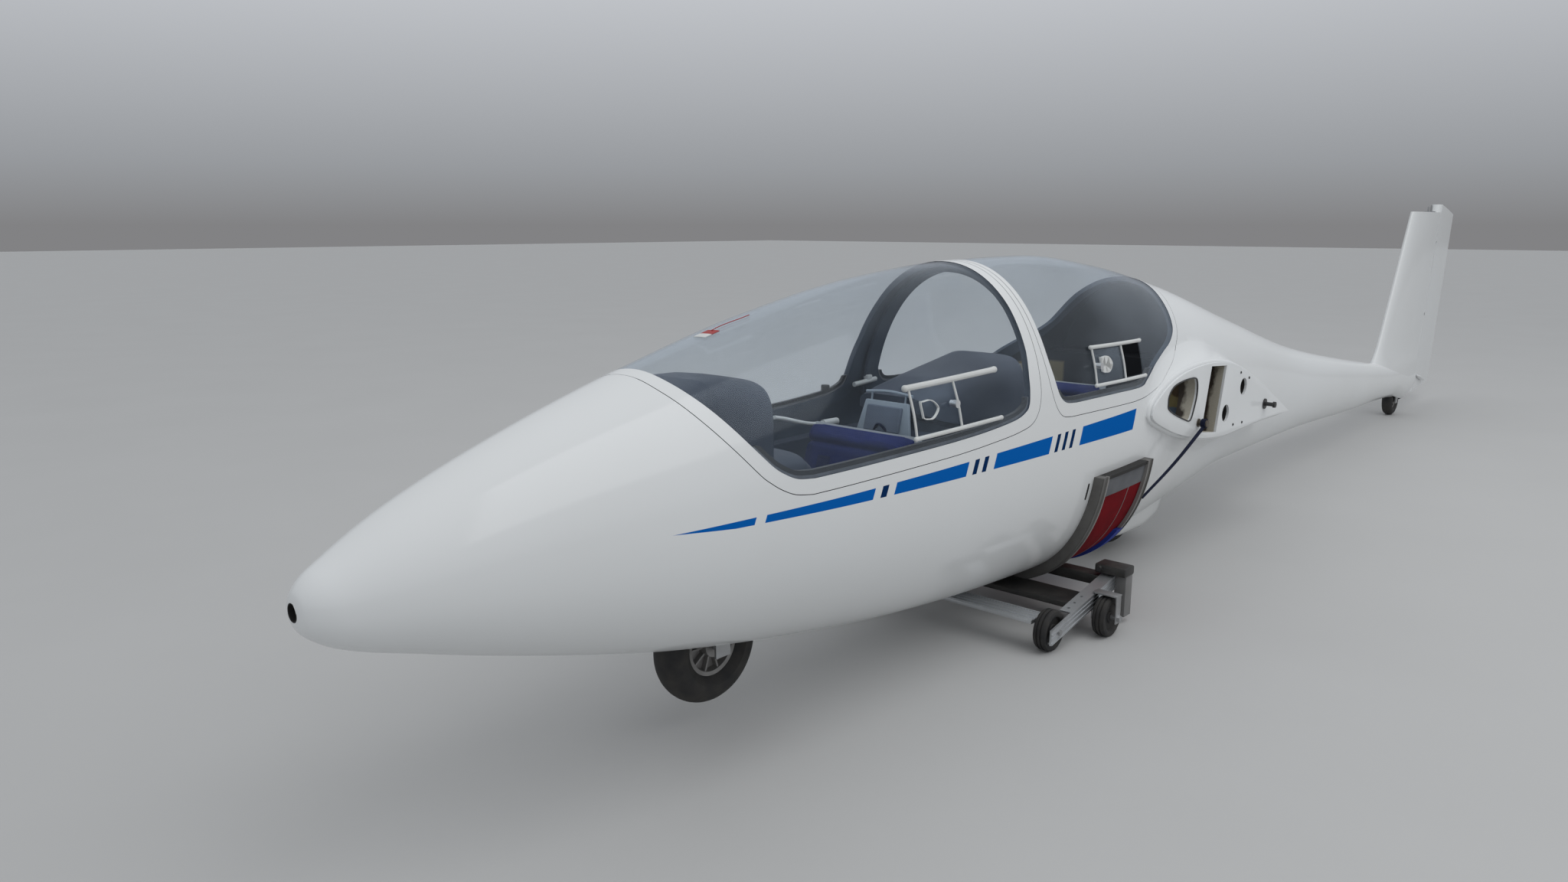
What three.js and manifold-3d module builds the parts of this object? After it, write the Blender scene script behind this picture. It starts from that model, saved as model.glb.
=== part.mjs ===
// Two-seat glider fuselage with its wings and tailplane taken off, on a belly dolly and its tail wheel.
// Millimetres. +X is forward, +Y is to the left, +Z is up, and the floor is at z = 0.
// Stations run aft from the nose tip, and outlines seen from the side are lists of [station, height].

import * as THREE from 'three';
import Module from 'manifold-3d';
import { mergeVertices } from 'three/addons/utils/BufferGeometryUtils.js';

const wasm = await Module();
wasm.setup();

// Driving sizes
const LENGTH = 8350;
const noseX = LENGTH / 2;
const skinWall = 14;
const touchGap = 0.3;
const panelGap = 5;
const beyond = 700;
const frameDepth = 18;
const glassDepth = 5;
const ribPlane = 360;
const facets = 28;
const floorTop = 262;

// The body's sections: station aft of the nose, top, bottom and half width
const hull = [
  { station: 0, top: 603, bottom: 532, half: 31 },
  { station: 60, top: 648, bottom: 490, half: 84 },
  { station: 200, top: 722, bottom: 441, half: 144 },
  { station: 450, top: 821, bottom: 363, half: 208 },
  { station: 800, top: 930, bottom: 272, half: 281 },
  { station: 1200, top: 1032, bottom: 200, half: 331 },
  { station: 1600, top: 1102, bottom: 146, half: 350 },
  { station: 2000, top: 1135, bottom: 113, half: 355 },
  { station: 2400, top: 1142, bottom: 98, half: 352 },
  { station: 2800, top: 1104, bottom: 104, half: 330 },
  { station: 3300, top: 1016, bottom: 138, half: 282 },
  { station: 4000, top: 853, bottom: 195, half: 219 },
  { station: 5000, top: 630, bottom: 193, half: 145 },
  { station: 6000, top: 476, bottom: 163, half: 109 },
  { station: 7000, top: 349, bottom: 140, half: 81 },
  { station: 7330, top: 312, bottom: 84, half: 66 },
  { station: 7600, top: 285, bottom: 140, half: 50 },
];
const widestAt = 0.47;
const roofPower = 2 / 2.1;
const bellyPower = 2 / 2.2;

const white = new THREE.MeshStandardMaterial({ color: 0xe9e9e6, roughness: 0.25 });
const darkGrey = new THREE.MeshStandardMaterial({ color: 0x4a4f58, roughness: 0.8 });
const paleGrey = new THREE.MeshStandardMaterial({ color: 0xa9b2b8, roughness: 0.6 });
const black = new THREE.MeshStandardMaterial({ color: 0x17181a, roughness: 0.7 });
const tyreBlack = new THREE.MeshStandardMaterial({ color: 0x1d1d1f, roughness: 0.9 });
const metal = new THREE.MeshStandardMaterial({ color: 0xaab0b5, roughness: 0.4, metalness: 0.9 });
const navy = new THREE.MeshStandardMaterial({ color: 0x232c5a, roughness: 0.85 });
const red = new THREE.MeshStandardMaterial({ color: 0x9a1620, roughness: 0.8 });
const rimGrey = new THREE.MeshStandardMaterial({ color: 0x6d6a68, roughness: 0.7 });
const beige = new THREE.MeshStandardMaterial({ color: 0xa39c8e, roughness: 0.7 });
const clear = new THREE.MeshStandardMaterial({ color: 0xdfe8ec, roughness: 0.05, transparent: true, opacity: 0.3 });

// Solids and boolean work

function toSolid(geometry) {
  const bare = new THREE.BufferGeometry();
  bare.setAttribute('position', geometry.getAttribute('position'));
  bare.setIndex(geometry.getIndex());
  const merged = mergeVertices(bare);
  return new wasm.Manifold(new wasm.Mesh({
    numProp: 3,
    vertProperties: new Float32Array(merged.getAttribute('position').array),
    triVerts: new Uint32Array(merged.getIndex().array),
  }));
}

function cut(base, ...tools) {
  return tools.reduce((left, tool) => left.subtract(tool), base);
}

function join(base, ...more) {
  return more.reduce((sum, next) => sum.add(next), base);
}

function common(base, ...others) {
  return others.reduce((left, other) => left.intersect(other), base);
}

function mirrored(solid) {
  const mesh = solid.getMesh();
  const points = Float32Array.from(mesh.vertProperties);
  for (let i = 1; i < points.length; i += 3) points[i] = -points[i];
  const faces = Uint32Array.from(mesh.triVerts);
  for (let i = 0; i < faces.length; i += 3) [faces[i], faces[i + 1]] = [faces[i + 1], faces[i]];
  return new wasm.Manifold(new wasm.Mesh({ numProp: 3, vertProperties: points, triVerts: faces }));
}

// Skins a run of rings that have the same number of points, and closes both ends with a fan
function loft(rings) {
  const count = rings[0].length;
  const points = rings.flat();
  const faces = [];
  for (let ring = 0; ring + 1 < rings.length; ring += 1) {
    for (let i = 0; i < count; i += 1) {
      const a = ring * count + i;
      const b = ring * count + (i + 1) % count;
      faces.push(a, b, a + count, b, b + count, a + count);
    }
  }
  for (const [ring, flip] of [[0, true], [rings.length - 1, false]]) {
    const middle = rings[ring].reduce((sum, point) => sum.add(point), new THREE.Vector3()).divideScalar(count);
    const hub = points.push(middle) - 1;
    for (let i = 0; i < count; i += 1) {
      const a = ring * count + i;
      const b = ring * count + (i + 1) % count;
      faces.push(hub, flip ? b : a, flip ? a : b);
    }
  }
  const geometry = new THREE.BufferGeometry().setFromPoints(points);
  geometry.setIndex(volumeOf(points, faces) < 0 ? faces.reverse() : faces);
  return toSolid(geometry);
}

function volumeOf(points, faces) {
  let sum = 0;
  const across = new THREE.Vector3();
  for (let i = 0; i < faces.length; i += 3) {
    across.crossVectors(points[faces[i + 1]], points[faces[i + 2]]);
    sum += points[faces[i]].dot(across);
  }
  return sum;
}

// A side view outline of [station, height] pairs, as a plate between two widths
function sidePlate(outline, yLow, yHigh) {
  const shape = new THREE.Shape(outline.map(([station, z]) => new THREE.Vector2(noseX - station, z)));
  const geometry = new THREE.ExtrudeGeometry(shape, { depth: yHigh - yLow, bevelEnabled: false });
  geometry.rotateX(Math.PI / 2);
  geometry.translate(0, yHigh, 0);
  return toSolid(geometry);
}

// A block between two stations, two widths and two heights
function block(front, rear, yLow, yHigh, zLow, zHigh) {
  const geometry = new THREE.BoxGeometry(rear - front, yHigh - yLow, zHigh - zLow);
  geometry.translate(noseX - (front + rear) / 2, (yLow + yHigh) / 2, (zLow + zHigh) / 2);
  return toSolid(geometry);
}

// A round bar between two points given as [station, y, z]
function rod(from, to, radius, sides = 16) {
  const start = new THREE.Vector3(noseX - from[0], from[1], from[2]);
  const end = new THREE.Vector3(noseX - to[0], to[1], to[2]);
  const along = end.clone().sub(start);
  const geometry = new THREE.CylinderGeometry(radius, radius, along.length(), sides);
  const turn = new THREE.Quaternion().setFromUnitVectors(new THREE.Vector3(0, 1, 0), along.clone().normalize());
  geometry.applyQuaternion(turn);
  geometry.translate(...start.add(end).divideScalar(2));
  return toSolid(geometry);
}

// A turned part on an axle across the body; the profile lists [radius, distance along the axle].
// The radii are those of the flats, and one flat faces straight down.
function turned(profile, station, y, z, sides = 24) {
  const corner = 1 / Math.cos(Math.PI / sides);
  const loop = [...profile, profile[0]].map(([radius, along]) => new THREE.Vector2(radius * corner, along));
  const geometry = new THREE.LatheGeometry(loop, sides, Math.PI / sides);
  geometry.translate(noseX - station, y, z);
  const points = [];
  const spots = geometry.getAttribute('position');
  for (let i = 0; i < spots.count; i += 1) points.push(new THREE.Vector3().fromBufferAttribute(spots, i));
  const faces = [...geometry.getIndex().array];
  if (volumeOf(points, faces) < 0) geometry.setIndex(faces.reverse());
  return toSolid(geometry);
}

// The body's form

// Monotone cubic through one column of the table
function smoothColumn(table, column) {
  const s = table.map((row) => row.station);
  const v = table.map((row) => row[column]);
  const step = s.slice(1).map((value, i) => value - s[i]);
  const rise = step.map((width, i) => (v[i + 1] - v[i]) / width);
  const slope = v.map((value, i) => {
    if (i === 0) return rise[0];
    if (i === v.length - 1) return rise[i - 1];
    if (rise[i - 1] * rise[i] <= 0) return 0;
    const before = 2 * step[i] + step[i - 1];
    const after = step[i] + 2 * step[i - 1];
    return (before + after) / (before / rise[i - 1] + after / rise[i]);
  });
  return (station) => {
    const last = s.length - 2;
    const i = Math.min(last, Math.max(0, s.findIndex((value) => value > station) - 1));
    const k = s[s.length - 1] <= station ? last : i;
    const t = (station - s[k]) / step[k];
    const t2 = t * t;
    const t3 = t2 * t;
    return v[k] * (2 * t3 - 3 * t2 + 1) + v[k + 1] * (3 * t2 - 2 * t3)
      + step[k] * (slope[k] * (t3 - 2 * t2 + t) + slope[k + 1] * (t3 - t2));
  };
}

const topAt = smoothColumn(hull, 'top');
const bottomAt = smoothColumn(hull, 'bottom');
const halfAt = smoothColumn(hull, 'half');

function hullRing(station, inset = 0, count = facets) {
  const top = topAt(station) - inset;
  const bottom = bottomAt(station) + inset;
  const half = halfAt(station) - inset;
  const middle = bottom + widestAt * (top - bottom);
  const ring = [];
  for (let i = 0; i < count; i += 1) {
    const angle = (2 * Math.PI * i) / count;
    const c = Math.cos(angle);
    const s = Math.sin(angle);
    const power = s >= 0 ? roofPower : bellyPower;
    const rise = s >= 0 ? top - middle : middle - bottom;
    ring.push(new THREE.Vector3(
      noseX - station,
      half * Math.sign(c) * Math.abs(c) ** power,
      middle + rise * Math.sign(s) * Math.abs(s) ** power,
    ));
  }
  return ring;
}

function hullLoft(stations, inset = 0, count = facets) {
  return loft(stations.map((station) => hullRing(station, inset, count)));
}

// A wall that follows the body between two insets
function hullWall(stations, outer, inner, count = facets) {
  const reach = 1;
  const core = [stations[0] - reach, ...stations.slice(1, -1), stations[stations.length - 1] + reach];
  return cut(hullLoft(stations, outer, count), hullLoft(core, inner, count));
}

function evenly(first, last, parts) {
  return Array.from({ length: parts + 1 }, (unused, i) => first + ((last - first) * i) / parts);
}

// Moves each point of a closed outline outwards by a distance
function grow(outline, distance) {
  const count = outline.length;
  const area = outline.reduce((sum, [s, z], i) => {
    const [s2, z2] = outline[(i + 1) % count];
    return sum + s * z2 - s2 * z;
  }, 0);
  const side = Math.sign(area);
  return outline.map(([s, z], i) => {
    const [s0, z0] = outline[(i + count - 1) % count];
    const [s2, z2] = outline[(i + 1) % count];
    const before = new THREE.Vector2(z - z0, s0 - s).normalize();
    const after = new THREE.Vector2(z2 - z, s - s2).normalize();
    const out = before.add(after).normalize();
    const reach = distance / Math.max(0.5, out.dot(after));
    return [s + side * reach * out.x, z + side * reach * out.y];
  });
}

// A smooth run of points through a few named ones
function through(points, parts) {
  const curve = new THREE.SplineCurve(points.map(([s, z]) => new THREE.Vector2(s, z)));
  return curve.getPoints(parts).map((point) => [point.x, point.y]);
}

// Canopy outlines, seen from the side. Each runs down its front edge, back along the sill and up its rear edge.
const sky = 1250;
const frontFrameOutline = [
  [757, sky],
  ...through([[757, 925], [764, 893], [792, 850], [838, 777], [911, 692], [985, 654]], 7),
  ...through([[1840, 688], [1925, 704], [1970, 760], [1985, 860]], 5),
  [1993, 1000],
  [1995, sky],
];
const frontGlassOutline = [
  [797, sky],
  ...through([[797, 940], [799, 893], [824, 838], [868, 783], [930, 730], [1000, 696]], 7),
  ...through([[1820, 730], [1895, 745], [1940, 800], [1958, 890]], 5),
  [1964, 1010],
  [1966, sky],
];
const rearFrameOutline = [
  [2031, sky],
  [2030, 1050],
  ...through([[2029, 950], [2034, 860], [2052, 745], [2080, 700], [2140, 682]], 6),
  ...through([[2640, 672], [2800, 690], [2970, 755], [3090, 860], [3160, 975]], 6),
  [3196, 1060],
  [3200, sky],
];
const rearGlassOutline = [
  [2054, sky],
  [2053, 1050],
  ...through([[2052, 950], [2060, 860], [2082, 775], [2112, 737], [2170, 729]], 6),
  ...through([[2630, 717], [2770, 732], [2905, 785], [3022, 865], [3100, 975]], 6),
  [3142, 1060],
  [3146, sky],
];

function through2side(outline) {
  return sidePlate(outline, -beyond, beyond);
}

const canopyStations = {
  front: evenly(740, 2010, 7),
  rear: evenly(2015, 3215, 7),
};

function canopyFrame(stations, frameOutline, glassOutline) {
  const wall = hullWall(stations, 0, frameDepth);
  return cut(common(wall, through2side(frameOutline)), through2side(glassOutline));
}

function canopyGlass(stations, glassOutline) {
  const wall = hullWall(stations, 2, 2 + glassDepth);
  return common(wall, through2side(grow(glassOutline, -touchGap)));
}

// The fixed hoop under the strip between the canopies; a web joins it to that strip
function canopyArch() {
  const around = podStations.filter((s) => s >= 1600 && s <= 2400);
  const hoop = common(hullWall(around, frameDepth + 6, frameDepth + 16), block(1985, 2045, -beyond, beyond, 700, sky));
  const web = common(
    hullWall(around, skinWall + touchGap, frameDepth + 8),
    block(2005, 2021, -beyond, beyond, 760, sky),
  );
  return join(hoop, web);
}

// Vent windows: a pane between two rails, just proud of the glass on the left side
const vent = { proud: 6, bar: 12, clear: 0.6 };

function ventWindow(stations, front, rear, low, high) {
  const rise = (station) => (0.03 * (rear - station));
  const corners = [[front, high - rise(front)], [rear, high], [rear, low], [front, low - rise(front)]];
  const wall = hullWall(stations, -vent.proud, 2 - vent.clear);
  return cut(common(wall, sidePlate(corners, 0, beyond)), sidePlate(grow(corners, -vent.bar), 0, beyond));
}

// Front fuselage: hollow shell, wing-root fairings, wheel wells and openings

const podEnd = 4150;
const podStations = [0, 30, 80, 190, 380, 620, 900, 1250, 1600, 2000, 2400, 2800, 3200, 3700, podEnd];
const boxWall = 8;
const cockpit = { front: 330, rear: 2850, luggageRear: 3040, luggageFloor: 480, shelfRear: 3190, shelf: 770 };
// The front fuselage is in three lengths, which meet at these stations
const noseEnd = 740;
const tubEnd = cockpit.rear;

const noseWheel = { station: 981, z: 226, radius: 150, width: 95, rim: 78, well: 66, roof: 402 };
const mainWheel = { station: 3130, z: 192, radius: 180, width: 120, rim: 100, well: 76, roof: 392 };
const tailWheel = { station: 7190, z: 100, radius: 100, width: 62, rim: 52, well: 39, roof: 218 };

// The root rib's outline on the rib plane, upper edge from the leading edge back, then the lower edge forward
const rootUpper = [[2672, 626], [2703, 660], [2785, 704], [2903, 737], [3060, 752], [3215, 750], [3365, 729],
  [3518, 684], [3700, 615], [3880, 537], [4045, 459]];
const rootLower = [[3890, 464], [3705, 466], [3502, 461], [3312, 458], [3129, 474], [3000, 496], [2855, 533],
  [2725, 580], [2682, 604]];
const rootOutline = [...rootUpper, ...rootLower];
const rootMiddle = [3250, 590];

// Fairing sections from the fuselage out: width, and how far the outline is drawn out in height and length
const fairingSteps = [
  { y: 150, tall: 1.55, long: 1.09 },
  { y: 255, tall: 1.42, long: 1.07 },
  { y: 305, tall: 1.2, long: 1.035 },
  { y: 340, tall: 1.05, long: 1.01 },
  { y: ribPlane - 9, tall: 1.0, long: 1.0 },
  { y: ribPlane, tall: 1.0, long: 1.0 },
];

function rootFairing() {
  return loft(fairingSteps.map(({ y, tall, long }) => rootOutline.map(([s, z]) => new THREE.Vector3(
    noseX - (rootMiddle[0] + long * (s - rootMiddle[0])),
    y,
    rootMiddle[1] + tall * (z - rootMiddle[1]),
  ))));
}

const sparSlot = [[3150, 738], [3292, 728], [3235, 484], [3095, 503]];
const footHole = through([[2792, 632], [2793, 668], [2830, 698], [2910, 711], [3000, 711], [3026, 694], [3031, 650],
  [3012, 598], [2986, 562], [2933, 572], [2850, 600]], 12);
const linkHoles = [{ station: 3478, z: 629 }, { station: 3315, z: 545 }];
const linkHole = { radius: 33, depth: 60 };
const rootPins = [{ station: 3062, z: 543, length: 34 }, { station: 3724, z: 532, length: 44 }];

const bulge = [
  { station: 2770, bottom: 110, half: 60 },
  { station: 2900, bottom: 72, half: 104 },
  { station: 3050, bottom: 52, half: 118 },
  { station: 3220, bottom: 50, half: 118 },
  { station: 3380, bottom: 66, half: 98 },
  { station: 3560, bottom: 130, half: 50 },
];
const bulgeTop = 320;

function wheelBulge() {
  return loft(bulge.map(({ station, bottom, half }) => {
    const x = noseX - station;
    const knee = bottom + 40;
    return [
      new THREE.Vector3(x, half, bulgeTop),
      new THREE.Vector3(x, half, knee),
      new THREE.Vector3(x, half * 0.72, bottom),
      new THREE.Vector3(x, -half * 0.72, bottom),
      new THREE.Vector3(x, -half, knee),
      new THREE.Vector3(x, -half, bulgeTop),
    ];
  }));
}

function wheelWell({ station, radius, well, roof }, slack = 14) {
  return block(station - radius - slack, station + radius + slack, -well, well, -20, roof);
}

// The cabin's space, or a smaller form inside it, on the skin's own stations
function cabinLoft(inset) {
  const inside = podStations.filter((s) => s > cockpit.front && s < cockpit.rear);
  return hullLoft([cockpit.front, ...inside, cockpit.rear], inset);
}

// Pads in the gap under a canopy's sill, which carry its frame when it is shut
const restPads = { length: 40, shallow: 3, front: [1350, 1760], rear: [2200, 2600] };

function canopyPads() {
  const wall = hullWall(podStations.slice(1), restPads.shallow, skinWall);
  const lines = [
    { outline: frontFrameOutline, stations: restPads.front },
    { outline: rearFrameOutline, stations: restPads.rear },
  ];
  const pads = lines.flatMap(({ outline, stations }) => {
    const gap = cut(through2side(grow(outline, panelGap + 3)), through2side(grow(outline, touchGap)));
    return stations.map((s) => common(wall, gap, block(s, s + restPads.length, -beyond, beyond, 600, 780)));
  });
  return join(...pads);
}

function frontFuselage() {
  const skin = hullLoft(podStations);
  const cabin = cabinLoft(skinWall);
  const luggage = common(
    hullLoft([cockpit.rear - 1, 2950, cockpit.luggageRear], skinWall),
    block(cockpit.rear - 1, cockpit.luggageRear, -beyond, beyond, cockpit.luggageFloor, sky),
  );
  const shelf = common(
    hullLoft([cockpit.luggageRear - 1, cockpit.shelfRear], skinWall),
    block(cockpit.luggageRear - 1, cockpit.shelfRear, -beyond, beyond, cockpit.shelf, sky),
  );
  const noseBox = common(
    hullLoft(evenly(750, 1300, 4), 1),
    wheelWell({ ...noseWheel, well: noseWheel.well + boxWall, roof: noseWheel.roof + boxWall }, 14 + boxWall),
  );
  let body = cut(skin, cabin, luggage, shelf);
  body = join(body, noseBox, cut(wheelBulge(), cabin, luggage));
  body = cut(
    body,
    through2side(grow(frontFrameOutline, panelGap)),
    through2side(grow(rearFrameOutline, panelGap)),
    wheelWell(noseWheel),
    wheelWell(mainWheel),
    through2side(grow(sparSlot, 8.3)),
    ...rootHoles(1),
    ...rootHoles(-1),
    rod([-20, 0, 570], [60, 0, 570], 18, 16),
    axleBar(mainWheel, axleReach + touchGap, touchGap),
  );
  return join(body, canopyPads());
}

function lengthOf(body, front, rear) {
  return common(body, block(front, rear, -beyond, beyond, -beyond, sky));
}

// The hand hole and the two link holes in the wing root's face
function rootHoles(side) {
  const near = side > 0 ? 200 : -beyond;
  const links = linkHoles.map(({ station, z }) => (
    rod([station, side * (ribPlane - linkHole.depth), z], [station, side * beyond, z], linkHole.radius, 14)));
  return [sidePlate(footHole, near, near + beyond - 200), ...links];
}

const axleReach = 20;

function axleBar({ station, z, well }, reach, extra = 0) {
  return rod([station, -well - reach, z], [station, well + reach, z], 10 + extra, 16);
}

// The left wing root: a fairing on the body's side, closed by a flat rib with two pins
function wingRoot() {
  const ribInner = ribPlane - 9 + touchGap;
  const cleared = cut(
    rootFairing(),
    hullLoft(podStations, -touchGap),
    sidePlate(grow(rearFrameOutline, panelGap), 0, ribInner),
    sidePlate(grow(sparSlot, 8.3), 0, ribInner),
    sidePlate(sparSlot, 0, beyond),
    ...rootHoles(1),
  );
  const pins = rootPins.map(({ station, z, length }) => {
    const tip = ribPlane + length;
    return join(
      rod([station, ribInner, z], [station, tip, z], 8, 12),
      rod([station, tip - 7, z], [station, tip, z], 13, 12),
    );
  });
  return join(largest(cleared), ...pins);
}

function largest(solid) {
  return solid.decompose().reduce((best, piece) => (piece.volume() > best.volume() ? piece : best));
}

function sparTunnel() {
  const half = ribPlane - 9;
  return cut(
    sidePlate(grow(sparSlot, 8), -half, half),
    sidePlate(sparSlot, -beyond, beyond),
  );
}

// Tail: boom, fin, rudder and tail wheel

const hinge = { low: [7577, 230], high: [7838, 1300], noseLow: 40, noseHigh: 27 };

function onHinge(z, offset = 0) {
  const t = (z - hinge.low[1]) / (hinge.high[1] - hinge.low[1]);
  return hinge.low[0] + t * (hinge.high[0] - hinge.low[0]) + offset;
}

function hingeBarrel(extra) {
  const rings = [40, 1460].map((z) => {
    const t = (z - hinge.low[1]) / (hinge.high[1] - hinge.low[1]);
    const radius = hinge.noseLow + t * (hinge.noseHigh - hinge.noseLow) + extra;
    return Array.from({ length: 16 }, (unused, i) => {
      const angle = (2 * Math.PI * i) / 16;
      return new THREE.Vector3(noseX - onHinge(z) + radius * Math.cos(angle), radius * Math.sin(angle), z);
    });
  });
  return loft(rings);
}

// Everything ahead of the rudder's gap
function aheadOfHinge() {
  return sidePlate([[3000, 0], [onHinge(0), 0], [onHinge(1500), 1500], [3000, 1500]], -beyond, beyond);
}

const boomStations = [podEnd + touchGap, 4600, 5200, 5800, 6400, 6850, 7000, 7170, 7330, 7470, 7600];

function tailBoom() {
  return cut(
    common(hullLoft(boomStations), aheadOfHinge()),
    hingeBarrel(8),
    wheelWell(tailWheel, 12),
  );
}

// A symmetric streamlined section: nose at the front station, tail at the rear one
function finRing(front, rear, thickness, z, count = 11) {
  const half = [];
  for (let i = 0; i <= count; i += 1) {
    const t = (1 - Math.cos((Math.PI * i) / count)) / 2;
    const form = 2.969 * Math.sqrt(t) - 1.26 * t - 3.516 * t ** 2 + 2.843 * t ** 3 - 1.036 * t ** 4;
    half.push([front + t * (rear - front), (thickness / 2) * form]);
  }
  const left = half.slice(1, -1).map(([s, y]) => new THREE.Vector3(noseX - s, y, z));
  const right = half.slice(1, -1).reverse().map(([s, y]) => new THREE.Vector3(noseX - s, -y, z));
  const nose = new THREE.Vector3(noseX - front, 0, z);
  const tail = new THREE.Vector3(noseX - rear, 0, z);
  return [nose, ...left, tail, ...right];
}

// Fin and rudder share these sections: leading edge, trailing edge, thickness and height
const tailSections = [
  { front: 6570, rear: 8170, thickness: 110, z: 100 },
  { front: 6636, rear: 8190, thickness: 107, z: 285 },
  { front: 6702, rear: 8203, thickness: 103, z: 400 },
  { front: 6800, rear: 8226, thickness: 98, z: 560 },
  { front: 7216, rear: 8353, thickness: 76, z: 1322 },
  { front: 7252, rear: 8363, thickness: 74, z: 1390 },
];

function tailSurface() {
  return loft(tailSections.map(({ front, rear, thickness, z }) => finRing(front, rear, thickness, z)));
}

// The rudder hangs on pins in two plates that reach back from the fin
const hingePlates = { heights: [640, 1120], thick: 8, half: 12, pin: 6, slack: 5 };

function hingePlate(z) {
  const centre = onHinge(z);
  const { thick, half, pin } = hingePlates;
  const plate = block(centre - 60, centre + half, -half, half, z - thick / 2, z + thick / 2);
  return cut(plate, hingePin(z, pin + touchGap, 20));
}

function hingePin(z, radius, reach) {
  return rod([onHinge(z - reach), 0, z - reach], [onHinge(z + reach), 0, z + reach], radius, 12);
}

function fin() {
  const finTop = 1322;
  const outline = [[6000, 0], [onHinge(0, -20), 0], [onHinge(finTop, -20), finTop], [6000, finTop + 3]];
  const body = cut(
    common(tailSurface(), sidePlate(outline, -beyond, beyond)),
    hingeBarrel(8),
    hullLoft(boomStations, -touchGap),
  );
  return join(largest(body), ...hingePlates.heights.map(hingePlate));
}

function rudder() {
  const outline = [[onHinge(120), 120], [8175, 132], [LENGTH, 1313], [onHinge(1376, -10), 1376]];
  const behind = [[onHinge(60), 60], [8700, 60], [8700, 1500], [onHinge(1500), 1500]];
  const blade = common(tailSurface(), sidePlate(outline, -beyond, beyond), sidePlate(behind, -beyond, beyond));
  const nose = common(hingeBarrel(0), sidePlate([[7000, 120], [8700, 120], [8700, 1376], [7000, 1376]], -beyond, beyond));
  const { thick, half, pin, slack } = hingePlates;
  const room = thick / 2 + slack;
  const notches = hingePlates.heights.map((z) => (
    block(onHinge(z) - 90, onHinge(z) + half + slack, -beyond, beyond, z - room, z + room)));
  const pins = hingePlates.heights.map((z) => hingePin(z, pin, room + 6));
  return join(cut(join(blade, nose), ...notches), ...pins);
}

// Two small pins and a bracket on the fin's top, where the tailplane bolts on
function tailplaneFitting() {
  const z = 1322.5;
  return join(
    block(7600, 7720, -22, 22, z, z + 6),
    rod([7622, 0, z + 3], [7622, 0, z + 34], 6, 12),
    rod([7700, 0, z + 3], [7700, 0, z + 46], 6, 12),
  );
}

// A wheel's fork: two plates against the sides of its well, joined over the tyre, with the axle between them
function fork({ station, z, well, roof }, axle) {
  const outer = well - touchGap;
  const top = roof - 6;
  const plates = [[-outer, 6 - outer], [outer - 6, outer]].map(([yLow, yHigh]) => (
    block(station - 24, station + 24, yLow, yHigh, z - 20, top)));
  const bridge = block(station - 24, station + 24, -outer, outer, top - 6, top);
  return join(...plates, bridge, rod([station, 2 - outer, z], [station, outer - 2, z], axle, 12));
}

// Wheels

function tyre({ station, z, radius, width, rim }) {
  const half = width / 2;
  const crown = half * 0.62;
  const shoulder = radius - half * 0.34;
  return turned([
    [rim, -half * 0.62], [rim + 12, -half], [shoulder, -half * 0.94], [radius, -crown * 0.7],
    [radius, crown * 0.7], [shoulder, half * 0.94], [rim + 12, half], [rim, half * 0.62],
  ], station, 0, z);
}

function wheelRim({ station, z, width, rim }, bore) {
  const half = width / 2;
  const edge = rim - touchGap;
  return turned([
    [bore, -half * 0.8], [bore + 18, -half * 0.5], [edge - 12, -half * 0.3], [edge, -half * 0.6],
    [edge, half * 0.6], [edge - 12, half * 0.3], [bore + 18, half * 0.5], [bore, half * 0.8],
  ], station, 0, z);
}

// Cockpit

function pod(rows) {
  return loft(rows.map(({ station, low, high, half, shoulder }) => {
    const x = noseX - station;
    return [
      new THREE.Vector3(x, half, low),
      new THREE.Vector3(x, half, shoulder),
      new THREE.Vector3(x, half * 0.8, shoulder + (high - shoulder) * 0.7),
      new THREE.Vector3(x, half * 0.42, high - 4),
      new THREE.Vector3(x, -half * 0.42, high - 4),
      new THREE.Vector3(x, -half * 0.8, shoulder + (high - shoulder) * 0.7),
      new THREE.Vector3(x, -half, shoulder),
      new THREE.Vector3(x, -half, low),
    ];
  }));
}

const frontPodRows = [
  { station: 820, low: 790, high: 872, half: 120, shoulder: 820 },
  { station: 932, low: 700, high: 906, half: 175, shoulder: 800 },
  { station: 1080, low: 640, high: 882, half: 195, shoulder: 790 },
  { station: 1190, low: 612, high: 850, half: 190, shoulder: 775 },
  { station: 1226, low: 612, high: 790, half: 182, shoulder: 740 },
];
const rearPodRows = [
  { station: 1720, low: 740, high: 800, half: 120, shoulder: 765 },
  { station: 1860, low: 700, high: 830, half: 165, shoulder: 775 },
  { station: 2044, low: 640, high: 862, half: 185, shoulder: 775 },
  { station: 2130, low: 600, high: 846, half: 178, shoulder: 765 },
];

// The columns that carry the pods: one stands on the nose wheel's housing and one on the floor
function frontPodFoot() {
  return block(1000, 1120, -55, 55, noseWheel.roof + boxWall + touchGap, 700);
}

function rearPodFoot() {
  return block(2000, 2090, -50, 50, floorTop + touchGap, 700);
}

// A seat is one bent strip seen from the side: a pan and a reclined back. Its line runs from the front lip up.
function seatLine({ front, rear, low, back, top }) {
  return [[front, low + 60], [front + 60, low + 66], [rear - 120, low + 12], [rear, low + 40], [back, top]];
}

// Moves an open line sideways; above the line is positive
function shift(line, distance) {
  return line.map(([s, z], i) => {
    const [s0, z0] = line[Math.max(0, i - 1)];
    const [s2, z2] = line[Math.min(line.length - 1, i + 1)];
    const before = new THREE.Vector2(z0 - z, s - s0).normalize();
    const after = new THREE.Vector2(z - z2, s2 - s).normalize();
    const out = before.clone().add(after).normalize();
    const along = i === 0 ? after : before;
    const reach = distance / out.dot(along);
    return [s + reach * out.x, z + reach * out.y];
  });
}

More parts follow.
